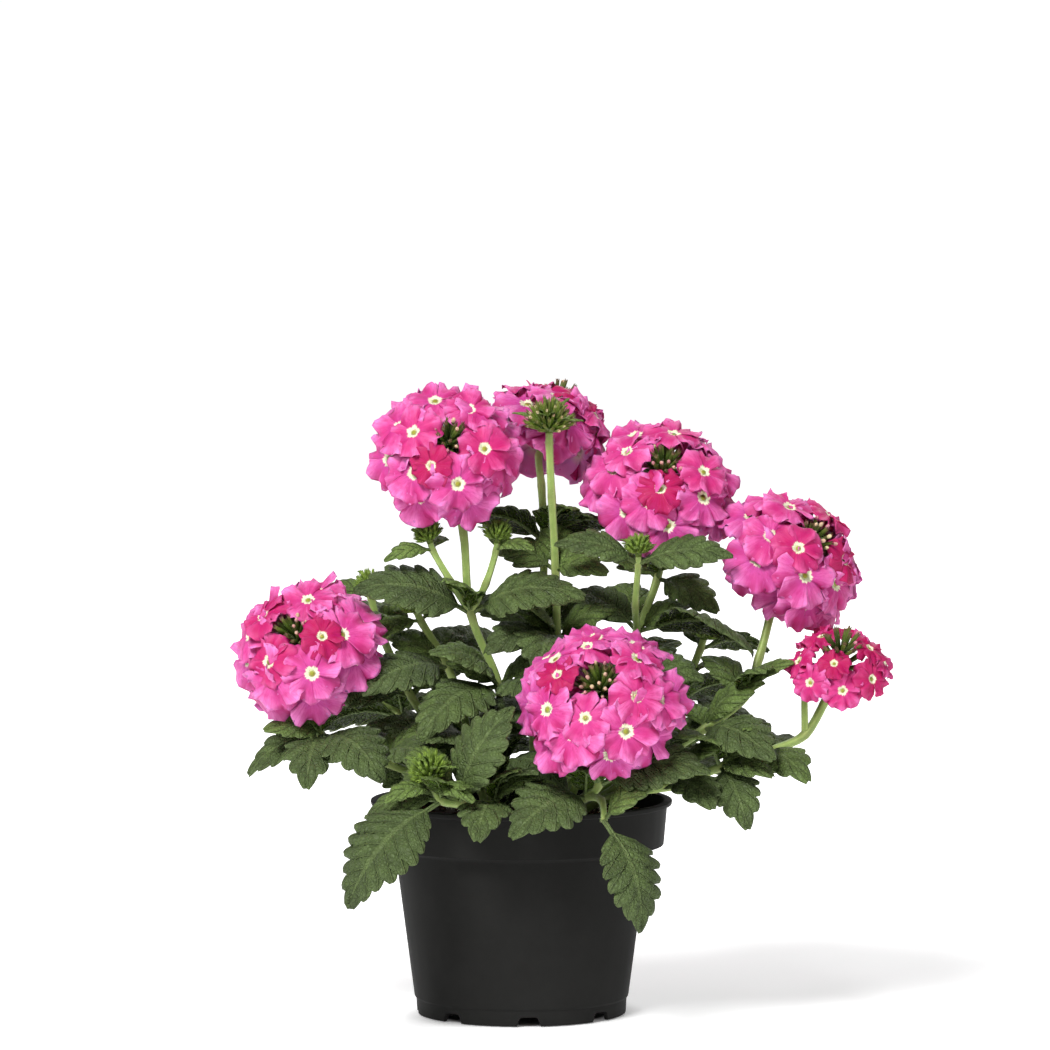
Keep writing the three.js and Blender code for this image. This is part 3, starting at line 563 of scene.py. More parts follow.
# A leaf's arch, fold, teeth, waves, curl and bend are shares of its length or width. Its quilting,
# creases and sunken midrib are in millimetres on a leaf of the relief length.
LEAF_WIDTH_RATIO = 0.59
YOUNG_LEAF_WIDTH_RATIO = 0.46
LEAF_ARCH = 0.12
LEAF_FOLD = 0.2
LEAF_THICKNESS = 0.42
SHEET_EDGE_SHARE = 0.45
LEAF_TWIST_DEGREES = 16
LEAF_FACING_DEGREES = 38
BACK_OF_PLANT = 24
STALK_FOOT = -0.03
PETIOLE_SHARE = 0.13
PETIOLE_HALF_WIDTH = 0.95
SMALL_LEAF_LENGTH = 24
SMALL_LEAF_THICKNESS = 0.3
TOOTH_LENGTH = 5.7
FEWEST_TEETH = 4
MOST_TEETH = 9
TOOTH_DEPTH = 0.27
TOOTH_RISE = 0.7
TOOTH_DROP = 0.3
TOOTH_LEAN = 0.30
VEIN_LAG = 1.7
RELIEF_LENGTH = 40
QUILT_HEIGHT = 1.45
CREASE_HEIGHT = 0.22
MIDRIB_DEPTH = 0.6
MIDRIB_END = 0.93
EDGE_WAVE = 0.055
EDGE_CURL = 0.10
SIDE_BEND = 0.14
NEWEST_LEAF = 7
NEWEST_LEAF_AGE = 0.2
FULL_GROWTH = 26
AXIL_LEAF_LENGTH = 27.0
AXIL_LEAF_AGE = 0.6
BRACTS = 12
BRACT_WIDTH_RATIO = 0.26
BRACT_AGE = 0.1

UP = np.array((0, 0, 1.0))


def unit(v):
    """v, or each row of v, scaled to length 1."""
    return v / np.linalg.norm(v, axis=-1, keepdims=True)


def turned_about(v, axis, angle):
    """v turned about a unit axis by an angle in radians."""
    return (v * math.cos(angle) + np.cross(axis, v) * math.sin(angle)
            + axis * np.dot(axis, v) * (1 - math.cos(angle)))


def scatter(dice):
    """A random vector, from -0.5 to 0.5 each way."""
    return np.array([next(dice), next(dice), next(dice)]) - 0.5


def round_section(sides):
    """A round section with that many corners."""
    return [(math.cos(2 * math.pi * k / sides), math.sin(2 * math.pi * k / sides)) for k in range(sides)]


def smooth_path(places, steps):
    """Points on a smooth path through the places, with that many steps from each to the next."""
    places = [np.array(p, dtype=float) for p in places]
    ends = [2 * places[0] - places[1]] + places + [2 * places[-1] - places[-2]]
    track = []
    for k in range(1, len(ends) - 2):
        p0, p1, p2, p3 = ends[k - 1:k + 3]
        d0, d1, d2 = (math.sqrt(np.linalg.norm(b - a)) for a, b in ((p0, p1), (p1, p2), (p2, p3)))
        leave = ((p1 - p0) / d0 - (p2 - p0) / (d0 + d1) + (p2 - p1) / d1) * d1
        reach = ((p2 - p1) / d1 - (p3 - p1) / (d1 + d2) + (p3 - p2) / d2) * d1
        for j in range(steps):
            t = j / steps
            track.append((2 * t**3 - 3 * t**2 + 1) * p1 + (t**3 - 2 * t**2 + t) * leave
                         + (3 * t**2 - 2 * t**3) * p2 + (t**3 - t**2) * reach)
    return np.array(track + [places[-1]])


class Growth:
    """The points, faces, material slots and material values of one piece as it grows."""

    def __init__(self):
        self.points, self.faces, self.slots, self.values = [], [], [], []
        self.count = 0

    def add(self, points, faces, slots, values):
        """Adds a part, with a slot for it or for each face, and a triple of values or one a point."""
        points = np.asarray(points, dtype=float).reshape(-1, 3)
        self.faces += [tuple(j + self.count for j in face) for face in faces]
        self.slots += [slots] * len(faces) if isinstance(slots, int) else list(slots)
        self.values.append(np.broadcast_to(np.asarray(values, dtype=float), points.shape))
        self.points.append(points)
        self.count += len(points)

    def piece(self, name, materials, value_name):
        """The finished mesh object."""
        return mesh_piece(name, np.concatenate(self.points), self.faces, materials, self.slots,
                          {value_name: np.concatenate(self.values)})


def tube(path, radii, section):
    """Points and faces of a closed tube along a path, with a section of unit (x, y) points."""
    path = np.asarray(path)
    ways = unit(np.gradient(path, axis=0))
    side = unit(np.cross(ways[0], UP if abs(ways[0][2]) < 0.9 else np.array((1.0, 0.0, 0.0))))
    rings = []
    for point, way, radius in zip(path, ways, radii):
        side = unit(side - way * np.dot(side, way))
        other = np.cross(way, side)
        rings.append([point + radius * (x * side + y * other) for x, y in section])
    points = np.array(rings).reshape(-1, 3)
    n, last = len(section), (len(path) - 1) * len(section)
    faces = [(r + j, r + (j + 1) % n, r + n + (j + 1) % n, r + n + j)
             for r in range(0, last, n) for j in range(n)]
    faces += [tuple(range(n - 1, -1, -1)), tuple(last + j for j in range(n))]
    return points, faces


def hair(growth, foot, way, length, width, slot, value):
    """One tapering three-sided hair, its foot sunk a little into what it grows on."""
    side = unit(np.cross(way, UP + 0.013))
    other = np.cross(way, side)
    base = foot - way * width
    corners = [base + width / 2 * (math.cos(a) * side + math.sin(a) * other) for a in (0.0, 2.094, 4.189)]
    growth.add(corners + [foot + way * length], [(0, 1, 3), (1, 2, 3), (2, 0, 3), (0, 2, 1)], slot, value)


# The section of a stem: a rounded square whose faces are slightly furrowed.
stem_section = []
for k in range(STEM_SIDES):
    a = 2 * math.pi * (k + 0.5) / STEM_SIDES
    square = abs(math.cos(a)) ** STEM_SQUARENESS + abs(math.sin(a)) ** STEM_SQUARENESS
    reach = 1 / square ** (1 / STEM_SQUARENESS)
    if math.cos(4 * a) > 0:
        reach *= 1 - STEM_FURROW * math.cos(4 * a) ** 2
    stem_section.append((reach * math.cos(a), reach * math.sin(a)))


def grow_stem(growth, places, width, dice):
    """A hairy four-sided stem through its joints, a little swollen at each.

    A point's values are the stem's own tone, how near a joint it is, and how far out in the
    section, which tells an angle of the stem from a furrow. The colour paints a highlight on the
    angles and shade in the furrows from it.
    """
    path = smooth_path(places, STEM_STEPS)
    share = np.arange(len(path)) / STEM_STEPS
    near_joint = np.exp(-((share - np.round(share)) * STEM_STEPS) ** 2)
    taper = 1.06 - STEM_TAPER * share / share[-1]
    radii = width / 2 * taper + JOINT_SWELL * near_joint * (share > 0.5)
    points, faces = tube(path, radii, stem_section)
    tone = next(dice)
    values = np.full((len(points), 3), tone)
    values[:, 1] = np.repeat(near_joint, STEM_SIDES)
    values[:, 2] = np.tile(np.linalg.norm(stem_section, axis=1), len(path))
    growth.add(points, faces, 0, values)
    rings = points.reshape(len(path), STEM_SIDES, 3)
    for k in range(len(path) - 1):
        gap = np.linalg.norm(path[k + 1] - path[k])
        for _ in range(int(gap / STEM_HAIR_SPACING)):
            along, j = next(dice), int(next(dice) * STEM_SIDES) % STEM_SIDES
            foot = rings[k][j] * (1 - along) + rings[k + 1][j] * along
            way = unit(foot - (path[k] * (1 - along) + path[k + 1] * along))
            way = unit(way + 0.5 * scatter(dice))
            hair(growth, foot, way, HAIR_LENGTH * (0.5 + next(dice)), HAIR_WIDTH, 3, (tone, 0, 0))


def leaf_outline(share):
    """Half of a blade's width, from 0 to 1, at a share of the way from its foot to its tip."""
    return np.sin(np.pi * np.clip(share, 0, 1) ** 0.72) ** 0.85


def sheet(grid, thickness):
    """Points and faces of a thin closed sheet below a grid of points, and its count of top faces."""
    rows, columns = grid.shape[:2]
    down, across = np.gradient(grid, axis=0), np.gradient(grid, axis=1)
    normal = np.cross(across, down)
    normal /= np.maximum(np.linalg.norm(normal, axis=-1, keepdims=True), 1e-9)
    edge = np.full((rows, columns, 1), SHEET_EDGE_SHARE)
    edge[1:-1, 1:-1] = 1
    beneath = grid - normal * thickness * edge
    points = np.concatenate([grid.reshape(-1, 3), beneath.reshape(-1, 3)])
    under = rows * columns
    faces = []
    for r in range(rows - 1):
        for c in range(columns - 1):
            a, b = r * columns + c, r * columns + c + 1
            d, e = a + columns, b + columns
            faces.append((a, b, e, d))
    top = len(faces)
    faces += [tuple(under + j for j in reversed(face)) for face in faces]
    ring = ([(0, c) for c in range(columns)] + [(r, columns - 1) for r in range(1, rows)]
            + [(rows - 1, c) for c in range(columns - 2, -1, -1)] + [(r, 0) for r in range(rows - 2, 0, -1)])
    for k, (r, c) in enumerate(ring):
        r2, c2 = ring[(k + 1) % len(ring)]
        a, b = r * columns + c, r2 * columns + c2
        faces.append((b, a, under + a, under + b))
    return points, faces, top


def grow_leaf(growth, base, tip, roll, age, dice, ratio=LEAF_WIDTH_RATIO):
    """A stalked, toothed and quilted blade, arched along its midrib and folded up across it.

    A point's values are its reach from the midrib to the margin, the count of side veins up to
    it, and the leaf's age, all for its materials.
    """
    base, tip = np.array(base, dtype=float), np.array(tip, dtype=float)
    span = tip - base
    length = np.linalg.norm(span)
    small = length <= SMALL_LEAF_LENGTH
    ahead = span / length
    side = turned_about(unit(np.cross(ahead, UP)), ahead, roll)
    lift = np.cross(side, ahead)
    crest = (base + tip) / 2 + lift * 2 * LEAF_ARCH * length
    half_width = ratio * length / 2
    teeth = int(min(max(round(length * (1 - PETIOLE_SHARE) / TOOTH_LENGTH), FEWEST_TEETH), MOST_TEETH))
    steps = 4 if small else 6
    stalk = np.linspace(STALK_FOOT, PETIOLE_SHARE, 5)[:-1]
    blade = np.arange(teeth * steps + 1) / (teeth * steps)
    shares = np.concatenate([stalk, PETIOLE_SHARE + (1 - PETIOLE_SHARE) * blade])
    in_blade = np.clip((shares - PETIOLE_SHARE) / (1 - PETIOLE_SHARE), 0, 1)
    across = np.array([-1, -0.91, -0.72, -0.49, -0.27, -0.07, 0.07, 0.27, 0.49, 0.72, 0.91, 1])
    if small:
        across = across[[0, 2, 4, 5, 6, 7, 9, 11]]
    v, u = np.meshgrid(in_blade, across, indexing="ij")
    far = np.abs(u)

    # The margin swells to each tooth, then drops sharply to the notch after it.
    phase = (v * teeth) % 1.0
    phase[-1] = 1.0
    swelling = np.sin(phase / TOOTH_RISE * np.pi / 2)
    dropping = np.cos((phase - TOOTH_RISE) / TOOTH_DROP * np.pi / 2)
    tooth = np.where(phase < TOOTH_RISE, swelling, dropping)
    ragged = np.array([next(dice) for _ in range(teeth + 2)])
    depth = TOOTH_DEPTH * (0.75 + 0.5 * ragged[np.floor(v * teeth).astype(int)])
    on_blade = (v > 0) & (v < 1)
    edge = 1 + on_blade * far ** 3 * (depth * tooth - TOOTH_DEPTH * 0.72)
    width = half_width * leaf_outline(v) * edge
    width = np.maximum(width, PETIOLE_HALF_WIDTH * (1 - 0.2 * far) * (v < 0.2) + 0.12 * (v >= 0.2))
    lean = on_blade * far ** 3 * TOOTH_LEAN * np.clip(phase - 0.15, 0, 1) / teeth * (1 - PETIOLE_SHARE)
    lean += (v > 0) * (1 - v) * 0.02 * far
    t = shares[:, None] + lean * (v < 0.98)

    # The midrib is an arch, and the blade's own frame follows it.
    before, after = (1 - t)[..., None], t[..., None]
    middle = before ** 2 * base + (2 * t * (1 - t))[..., None] * crest + after ** 2 * tip
    way = unit(2 * before * (crest - base) + 2 * after * (tip - crest))
    normal = unit(np.cross(np.broadcast_to(side, way.shape), way))

    # Side veins run forward to the teeth. The blade bulges between them, is creased along them,
    # and sinks at the midrib. Its margin waves a little and curls down.
    vein = v * teeth - 0.7 + (1 - far) * VEIN_LAG
    between = np.abs(np.sin(np.pi * vein)) ** 0.7
    size = min(max(length / RELIEF_LENGTH, 0.55), 1.2)
    inland = np.sin(np.pi * v ** 0.8)
    relief = QUILT_HEIGHT * size * between * np.sin(np.pi * np.clip(far, 0, 1) ** 0.8) * inland
    relief += CREASE_HEIGHT * size * np.sin(2 * np.pi * (2.3 * far + 0.5 * vein)) * between * inland
    relief -= MIDRIB_DEPTH * size * np.exp(-(far / 0.10) ** 2) * (v < 0.97)
    sway = next(dice) * 6.3
    wave = EDGE_WAVE * half_width * far ** 2 * np.sin(sway + 2 * np.pi * (1.6 * v + 0.35 * np.sign(u)))
    curl = -EDGE_CURL * half_width * far ** 3 * (0.4 + next(dice))
    bend = (next(dice) - 0.5) * SIDE_BEND * half_width
    rise = LEAF_FOLD * width * (0.55 + 0.45 * v) + (relief + wave + curl) * on_blade
    grid = middle + side * (u * width + bend * np.sin(np.pi * v))[..., None] + normal * rise[..., None]
    points, faces, top = sheet(grid[:, ::-1], SMALL_LEAF_THICKNESS if small else LEAF_THICKNESS)
    values = np.stack([far, vein, np.full(far.shape, age)], axis=-1)[:, ::-1].reshape(-1, 3)
    growth.add(points, faces, [1] * top + [2] * (len(faces) - top), np.concatenate([values, values]))

    # A round stalk and midrib stand out beneath the blade.
    centre = (grid[:, len(across) // 2 - 1] + grid[:, len(across) // 2]) / 2 - normal[:, 0] * 0.35
    radii = np.interp(shares, [STALK_FOOT, PETIOLE_SHARE, 0.5, MIDRIB_END], [0.95, 0.85, 0.55, 0.2])
    radii *= min(length / 34, 1.1)
    rib = shares <= MIDRIB_END
    points, faces = tube(centre[rib][::2], radii[rib][::2], round_section(6))
    growth.add(points, faces, 2, (0.0, 0.5, age))


grown, tree = new_material("young_stem_skin_hairy")
# Soft green stem: apple green, with a painted highlight on the angles and painted shade in the
# furrows, and tinged with red-brown at the joints. A faint sheen stands in for the down between
# the longer hairs.
place = add_node(tree, "TexCoord").outputs["Object"]
told = add_node(tree, "Attribute", attribute_name="growth").outputs["Vector"]
joint, reach = add_node(tree, "SeparateXYZ", [told]).outputs[1:3]
streak = add_node(tree, "TexNoise", {"Vector": place, "Scale": 260.0, "Detail": 3.0})
# Painted highlight on the stem's angles and painted shade in its furrows.
angle = add_node(tree, "MapRange", [reach, 0.95, 1.12, 0.0, 1.0])
mottle = add_node(tree, "MapRange", [streak, 0.4, 0.75, 0.0, 0.5])
tinge = add_node(tree, "Math", [joint, 0.28], operation="MULTIPLY")
green = linear("#7C9644")
for amount, tint in ((angle, "#AABF6E"), (mottle, "#67843A"), (tinge, "#7A6A45")):
    green = add_node(tree, "Mix", {0: amount, 6: green, 7: linear(tint)}, data_type="RGBA")
bump = add_node(tree, "Bump", {"Height": streak, "Strength": 0.25, "Distance": 0.0003})
shader = add_node(tree, "BsdfPrincipled", {
    "Base Color": green, "Roughness": 0.5, "IOR": 1.42, "Normal": bump,
    "Subsurface Weight": 0.15, "Subsurface Radius": (0.4, 0.8, 0.2), "Subsurface Scale": 0.001,
    "Sheen Weight": 0.25, "Sheen Roughness": 0.5})
add_node(tree, "OutputMaterial", [shader])


def blade_material(name, old, young, vein_tint, groove_painted_shade_level, gloss, vein_depth):
    """One face of a leaf: its colour by age, its veins, and a net of small ones between them."""
    material, tree = new_material(name)
    place = add_node(tree, "TexCoord").outputs["Object"]
    told = add_node(tree, "Attribute", attribute_name="growth").outputs["Vector"]
    far, vein, age = add_node(tree, "SeparateXYZ", [told]).outputs
    cloud = add_node(tree, "TexNoise", {"Vector": place, "Scale": 110.0, "Detail": 4.0, "Roughness": 0.6})
    fleck = add_node(tree, "TexNoise", {"Vector": place, "Scale": 1300.0, "Detail": 3.0, "Roughness": 0.7})
    net = add_node(tree, "TexVoronoi", {"Vector": place, "Scale": 620.0}, feature="DISTANCE_TO_EDGE")

    # A side vein lies where the vein count is whole. The midrib lies where the reach is nil.
    fold = add_node(tree, "Math", [vein, 0.5], operation="PINGPONG")
    side_vein = add_node(tree, "MapRange", [fold, 0.0, 0.10, 1.0, 0.0], interpolation_type="SMOOTHSTEP")
    midrib = add_node(tree, "MapRange", [far, 0.03, 0.11, 1.0, 0.0], interpolation_type="SMOOTHSTEP")
    veins = add_node(tree, "Math", [side_vein, midrib], operation="MAXIMUM")
    mesh_vein = add_node(tree, "MapRange", [net, 0.0, 0.3, 1.0, 0.0])

    # The green is cloudy and flecked. A painted highlight lightens each raised cell of the net, with
    # painted shade at its edges and in the grooves beside the side veins.
    colour = add_node(tree, "Mix", {0: age, 6: linear(young), 7: linear(old)}, data_type="RGBA")
    light = add_node(tree, "MapRange", [cloud, 0.3, 0.7, 0.66, 1.34])
    speck = add_node(tree, "MapRange", [fleck, 0.35, 0.7, 0.94, 1.06])
    net_painted_shading = add_node(tree, "MapRange", [net, 0.0, 0.4, 0.88, 1.12])
    groove_painted_shade = add_node(tree, "MapRange", [fold, 0.04, 0.3, groove_painted_shade_level, 1.1], interpolation_type="SMOOTHSTEP")
    for part in (speck, net_painted_shading, groove_painted_shade):
        light = add_node(tree, "Math", [light, part], operation="MULTIPLY")
    colour = add_node(tree, "Mix", {0: 1.0, 6: colour, 7: light}, data_type="RGBA", blend_type="MULTIPLY")
    rim = add_node(tree, "MapRange", [far, 0.86, 1.0, 0.0, 0.35])
    pale = add_node(tree, "Math", [veins, 0.62], operation="MULTIPLY")
    pale = add_node(tree, "Math", [pale, rim], operation="MAXIMUM")
    colour = add_node(tree, "Mix", {0: pale, 6: colour, 7: linear(vein_tint)}, data_type="RGBA")

    height = add_node(tree, "Math", [mesh_vein, -0.3], operation="MULTIPLY")
    height = add_node(tree, "Math", [veins, -vein_depth, height], operation="MULTIPLY_ADD")
    height = add_node(tree, "Math", [fleck, 0.08, height], operation="MULTIPLY_ADD")
    bump = add_node(tree, "Bump", {"Height": height, "Strength": 0.9, "Distance": 0.0014})
    shader = add_node(tree, "BsdfPrincipled", {
        "Base Color": colour, "Roughness": gloss, "IOR": 1.42, "Specular IOR Level": 0.46, "Normal": bump})
    add_node(tree, "OutputMaterial", [shader])
    return material


# Upper face: deep green living tissue under a thin waxy skin, dull from fine hairs, with sunken
# veins. Lower face: paler and duller, with the veins standing out. The net's meshes are 1.6 mm.
blade_above = blade_material("leaf_upper_skin", "#27330A", "#54741A", "#A0B26C", 0.56, 0.25, 1.3)
blade_below = blade_material("leaf_lower_skin_downy", "#46552E", "#748E40", "#788A54", 0.9, 0.6, -0.8)

down, tree = new_material("plant_hair_clear")
# Single-celled hairs: nearly colourless and shiny, so they read as a silvery edge on a stem.
shader = add_node(tree, "BsdfPrincipled", {"Base Color": linear("#DCE6BE"), "Roughness": 0.35, "IOR": 1.45})
add_node(tree, "OutputMaterial", [shader])


def head_axis(facing):
    """The unit vector that a head faces along."""
    return unit(np.array(facing, dtype=float))


def leaf_facing(base, tip):
    """How far a leaf rolls about its length, in degrees, to turn its upper face to the light."""
    ahead = unit(np.array(tip, dtype=float) - np.array(base, dtype=float))
    outward = -1 if base[1] > BACK_OF_PLANT else 1
    return outward * LEAF_FACING_DEGREES * ahead[0]


leaf_roll = random_stream(9)
dice = random_stream(77)
bud_feet = {}
for stem_name, stem in STEMS.items():
    growth = Growth()
    shoots = [(stem, None, MAIN_STEM)]
    shoots += [(shoot, stem["joints"][shoot["from"]][0], SIDE_STEM) for shoot in stem.get("shoots", [])]
    for shoot, start, width in shoots:
        places = [joint[0] for joint in shoot["joints"]]
        places.insert(0, start or (*places[0][:2], MIX_TOP - ROOT_IN_MIX))
        if "head" in shoot:
            axis = head_axis(shoot["head"]["facing"])
            end = np.array(shoot["head"]["at"]) - axis * (HEAD_STALK_LENGTH + CLEARANCE)
            places += [tuple(end - axis * STEM_END), tuple(end)]
        if "buds" in shoot:
            end = np.array(places[-1]) + head_axis(shoot["buds"]["facing"]) * STEM_END
            places.append(tuple(end))
            bud_feet[shoot["buds"]["name"]] = end
        grow_stem(growth, places, width, dice)

        for joint in shoot["joints"]:
            under_buds = "buds" in shoot and joint is shoot["joints"][-1]
            ratio = YOUNG_LEAF_WIDTH_RATIO if under_buds else LEAF_WIDTH_RATIO
            for leaf in joint[1:]:
                given = leaf[3] if len(leaf) > 3 else leaf_facing(joint[0], leaf)
                roll = math.radians(given + (next(leaf_roll) - 0.5) * LEAF_TWIST_DEGREES)
                length = math.dist(joint[0], leaf[:3])
                age = min(max((length - NEWEST_LEAF) / FULL_GROWTH, NEWEST_LEAF_AGE), 1.0)
                age *= 0.85 + 0.15 * next(dice)
                grow_leaf(growth, joint[0], leaf[:3], roll, age, dice, ratio)

            # A small young leaf stands in the axil of each older one, to one side of it.
            if under_buds:
                continue
            for leaf in joint[1:4]:
                bearing = math.atan2(leaf[1] - joint[0][1], leaf[0] - joint[0][0])
                bearing += (0.6 + 0.5 * next(dice)) * (1 if next(dice) < 0.5 else -1)
                reach = AXIL_LEAF_LENGTH * (0.6 + 0.6 * next(dice))
                way = unit(np.array((math.cos(bearing), math.sin(bearing), 0.45 + 0.4 * next(dice))))
                tip = np.array(joint[0]) + way * reach
                roll = math.radians(leaf_facing(joint[0], tip))
                grow_leaf(growth, joint[0], tip, roll, AXIL_LEAF_AGE, dice)

        # Narrow bracts stand round the foot of a head of closed buds.
        if "buds" in shoot:
            size = shoot["buds"]["radius"]
            start = next(dice) * 2 * math.pi
            for k in range(BRACTS):
                turn = start + 2 * math.pi * k / BRACTS
                way = unit(np.array((math.cos(turn), math.sin(turn), 0.3 + 1.3 * next(dice))))
                tip = end + way * size * (1.15 + 0.5 * next(dice))
                grow_leaf(growth, end - UP * 0.4, tip, 0.0, BRACT_AGE, dice, BRACT_WIDTH_RATIO)

        # The florets of an open head have their own share of the first stream. It is passed over.
        if "rings" in shoot:
            for _ in range(2 + 4 * sum(shoot["rings"])):
                next(leaf_roll)

    piece = growth.piece(stem_name + "_leafy", [grown, blade_above, blade_below, down], "growth")
    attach(piece, "root")
    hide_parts(stem_name)


# ---------------------------------------------------------------- flower heads
# An open head is a dome of some twenty florets, opening from the rim inwards. Each floret is a
# thin corolla of five notched lobes on a tube, held in a narrow green calyx on a short spindle.

FLORET_RADIUS = 13.5
YOUNG_FLORET_RADIUS = 8.8
LOBES = 5
LOBE_STEPS = 11
LOBE_WIDTH_SHARE = 0.53
LOBE_FOOT_SHARE = 0.09
PETAL_THICKNESS = 0.30
THROAT_RADIUS = 0.55
TUBE_RADIUS = 0.75
THROAT_DEPTH = 0.4
BUTTON_SHARE = 0.11
BUTTON_SIDES = 8
CALYX_LENGTH = 8.5
CALYX_RADIUS = 1.05
CALYX_SIDES = 10
CALYX_HAIRS = 7
SPINDLE_RADIUS = 1.7
SPINDLE_STEPS = 9
ROUTE_STEPS = 13
TUBE_SIDES = 7
AGE_STEPS = 20
GOLDEN_TURN = math.pi * (3 - math.sqrt(5))

# Rings of florets, from the oldest under the rim to the youngest round the middle. A ring has its
# count, radius as a share of the head's, height, lean in degrees, age from 0 to 1, and size.
OPEN_RINGS = (
    (5, 0.64, -6.5, 74, 1.0, 1.0),
    (7, 0.76, 0.0, 46, 0.9, 1.04),
    (6, 0.63, 7.5, 33, 0.62, 1.0),
    (4, 0.48, 12.0, 24, 0.30, 0.88),
)
YOUNG_RINGS = (
    (8, 0.66, 1.0, 50, 0.16, 1.0),
    (3, 0.42, 8.0, 28, 0.02, 0.88),
)
OPEN_HEAD_RADIUS = 31
SMALLEST_RING = 11.5
SMALLEST_YOUNG_RING = 8.5
CENTRE_CALYCES = 34
YOUNG_CENTRE_CALYCES = 18
CENTRE_CALYX_RADIUS = 0.80
CENTRE_CALYX_LENGTH = 11.5
BUD_CHANCE = 0.35

petal, tree = new_material("petal_velvet")
# Petal tissue: saturated pink over a bed of tiny domed cells, which makes it velvety, with faint
# veins from the throat. A cream star rings a yellow-green throat, and age turns pink to mauve.
# Deeper pink in its folds is painted shade, and paler pink on its ridges is a painted highlight.
place = add_node(tree, "TexCoord").outputs["Object"]
told = add_node(tree, "Attribute", attribute_name="floret").outputs["Vector"]
reach, across, state = add_node(tree, "SeparateXYZ", [told]).outputs
age = add_node(tree, "Math", [state], operation="FLOOR")
age = add_node(tree, "Math", [age, AGE_STEPS], operation="DIVIDE")
fold = add_node(tree, "Math", [state], operation="FRACT")
grown_up = add_node(tree, "MapRange", [age, 0.0, 0.45, 0.1, 1.0])
cloud = add_node(tree, "TexNoise", {"Vector": place, "Scale": 160.0, "Detail": 4.0, "Roughness": 0.6})
cells = add_node(tree, "TexNoise", {"Vector": place, "Scale": 2600.0, "Detail": 2.0})
hue = add_node(tree, "ValToRGB", [age])
hue.color_ramp.elements[0].color = linear("#AC0C4C")
hue.color_ramp.elements[1].color = linear("#C64C9A")
hue.color_ramp.elements.new(0.2).color = linear("#C41E68")
hue.color_ramp.elements.new(0.5).color = linear("#CE3A86")

# Grown florets have lighter patches, and are lighter at the margin, with a painted highlight on their ridges.
patch = add_node(tree, "MapRange", [cloud, 0.3, 0.7, 0.0, 0.38])
patch = add_node(tree, "Math", [patch, grown_up], operation="MULTIPLY")
margin = add_node(tree, "MapRange", [reach, 0.60, 0.95, 0.0, 0.45])
ridge = add_node(tree, "MapRange", [fold, 0.5, 0.85, 0.0, 0.55])
ridge = add_node(tree, "Math", [margin, ridge], operation="ADD", use_clamp=True)
ridge = add_node(tree, "Math", [ridge, grown_up], operation="MULTIPLY")

# Fine veins fan out along a lobe, with darker streaks between them and painted shade in its folds.
# An older floret is washed with mauve near its throat.
fan = add_node(tree, "Math", [across, 5.5], operation="MULTIPLY")
fan = add_node(tree, "Math", [fan, 0.5], operation="PINGPONG")
vein = add_node(tree, "MapRange", [fan, 0.0, 0.16, 0.30, 0.0])
lengthwise = add_node(tree, "Math", [reach, 0.16], operation="MULTIPLY")
crosswise = add_node(tree, "Math", [across, 0.20], operation="MULTIPLY")
lobe_place = add_node(tree, "CombineXYZ", [crosswise, lengthwise, age])
streaks = add_node(tree, "TexNoise", {"Vector": lobe_place, "Scale": 26.0, "Detail": 3.0, "Roughness": 0.65})
streak = add_node(tree, "MapRange", [streaks, 0.42, 0.68, 0.0, 0.62])
fading = add_node(tree, "MapRange", [reach, 0.3, 1.0, 1.0, 0.25])
streak = add_node(tree, "Math", [streak, fading], operation="MULTIPLY")
# Painted shade in the folds of each lobe.
painted_fold_shade = add_node(tree, "MapRange", [fold, 0.12, 0.55, 0.75, 0.0])
streak = add_node(tree, "Math", [streak, painted_fold_shade], operation="MAXIMUM")
wash = add_node(tree, "MapRange", [reach, 0.16, 0.5, 0.4, 0.0])
wash = add_node(tree, "Math", [wash, age], operation="MULTIPLY")

# The star has a ragged edge, and reaches a little further along the sides of each lobe.
side = add_node(tree, "Math", [across], operation="ABSOLUTE")
star = add_node(tree, "Math", [side, -0.035, reach], operation="MULTIPLY_ADD")
star = add_node(tree, "Math", [streaks, 0.2, star], operation="MULTIPLY_ADD")
star = add_node(tree, "MapRange", [star, 0.265, 0.325, 1.0, 0.0], interpolation_type="SMOOTHSTEP")
throat = add_node(tree, "MapRange", [reach, 0.055, 0.105, 1.0, 0.0])
colour = hue
for amount, tint in (
    (patch, "#EA68B0"),
    (ridge, "#F28ACB"),
    (vein, "#C2307F"),
    (streak, "#B41E66"),
    (wash, "#B0409A"),
    (star, "#F6F1CE"),
    (throat, "#9A9A3C"),
):
    colour = add_node(tree, "Mix", {0: amount, 6: colour, 7: linear(tint)}, data_type="RGBA")
height = add_node(tree, "Math", [vein, -1.6, cells], operation="MULTIPLY_ADD")
bump = add_node(tree, "Bump", {"Height": height, "Strength": 0.35, "Distance": 0.0002})
flesh = {"IOR": 1.4, "Specular IOR Level": 0.25, "Subsurface Weight": 0.2,
         "Subsurface Radius": (1.0, 0.2, 0.4), "Subsurface Scale": 0.0012}
shader = add_node(tree, "BsdfPrincipled", {"Base Color": colour, "Roughness": 0.5, "Normal": bump, **flesh})
add_node(tree, "OutputMaterial", [shader])

petal_back, tree = new_material("petal_underside")
# The lower face of a lobe and the outside of the tube: paler, duller pink, and buff at the tube.
told = add_node(tree, "Attribute", attribute_name="floret").outputs["Vector"]
told = add_node(tree, "SeparateXYZ", [told]).outputs
age = add_node(tree, "Math", [told[2], AGE_STEPS], operation="DIVIDE")
root = add_node(tree, "MapRange", [told[0], 0.08, 0.42, 1.0, 0.0])
colour = linear("#C83672")
for amount, tint in ((age, "#CC72B4"), (root, "#C9A9A0")):
    colour = add_node(tree, "Mix", {0: amount, 6: colour, 7: linear(tint)}, data_type="RGBA")
shader = add_node(tree, "BsdfPrincipled", {"Base Color": colour, "Roughness": 0.55, **flesh})
add_node(tree, "OutputMaterial", [shader])

calyx_skin, tree = new_material("calyx_skin_glandular")
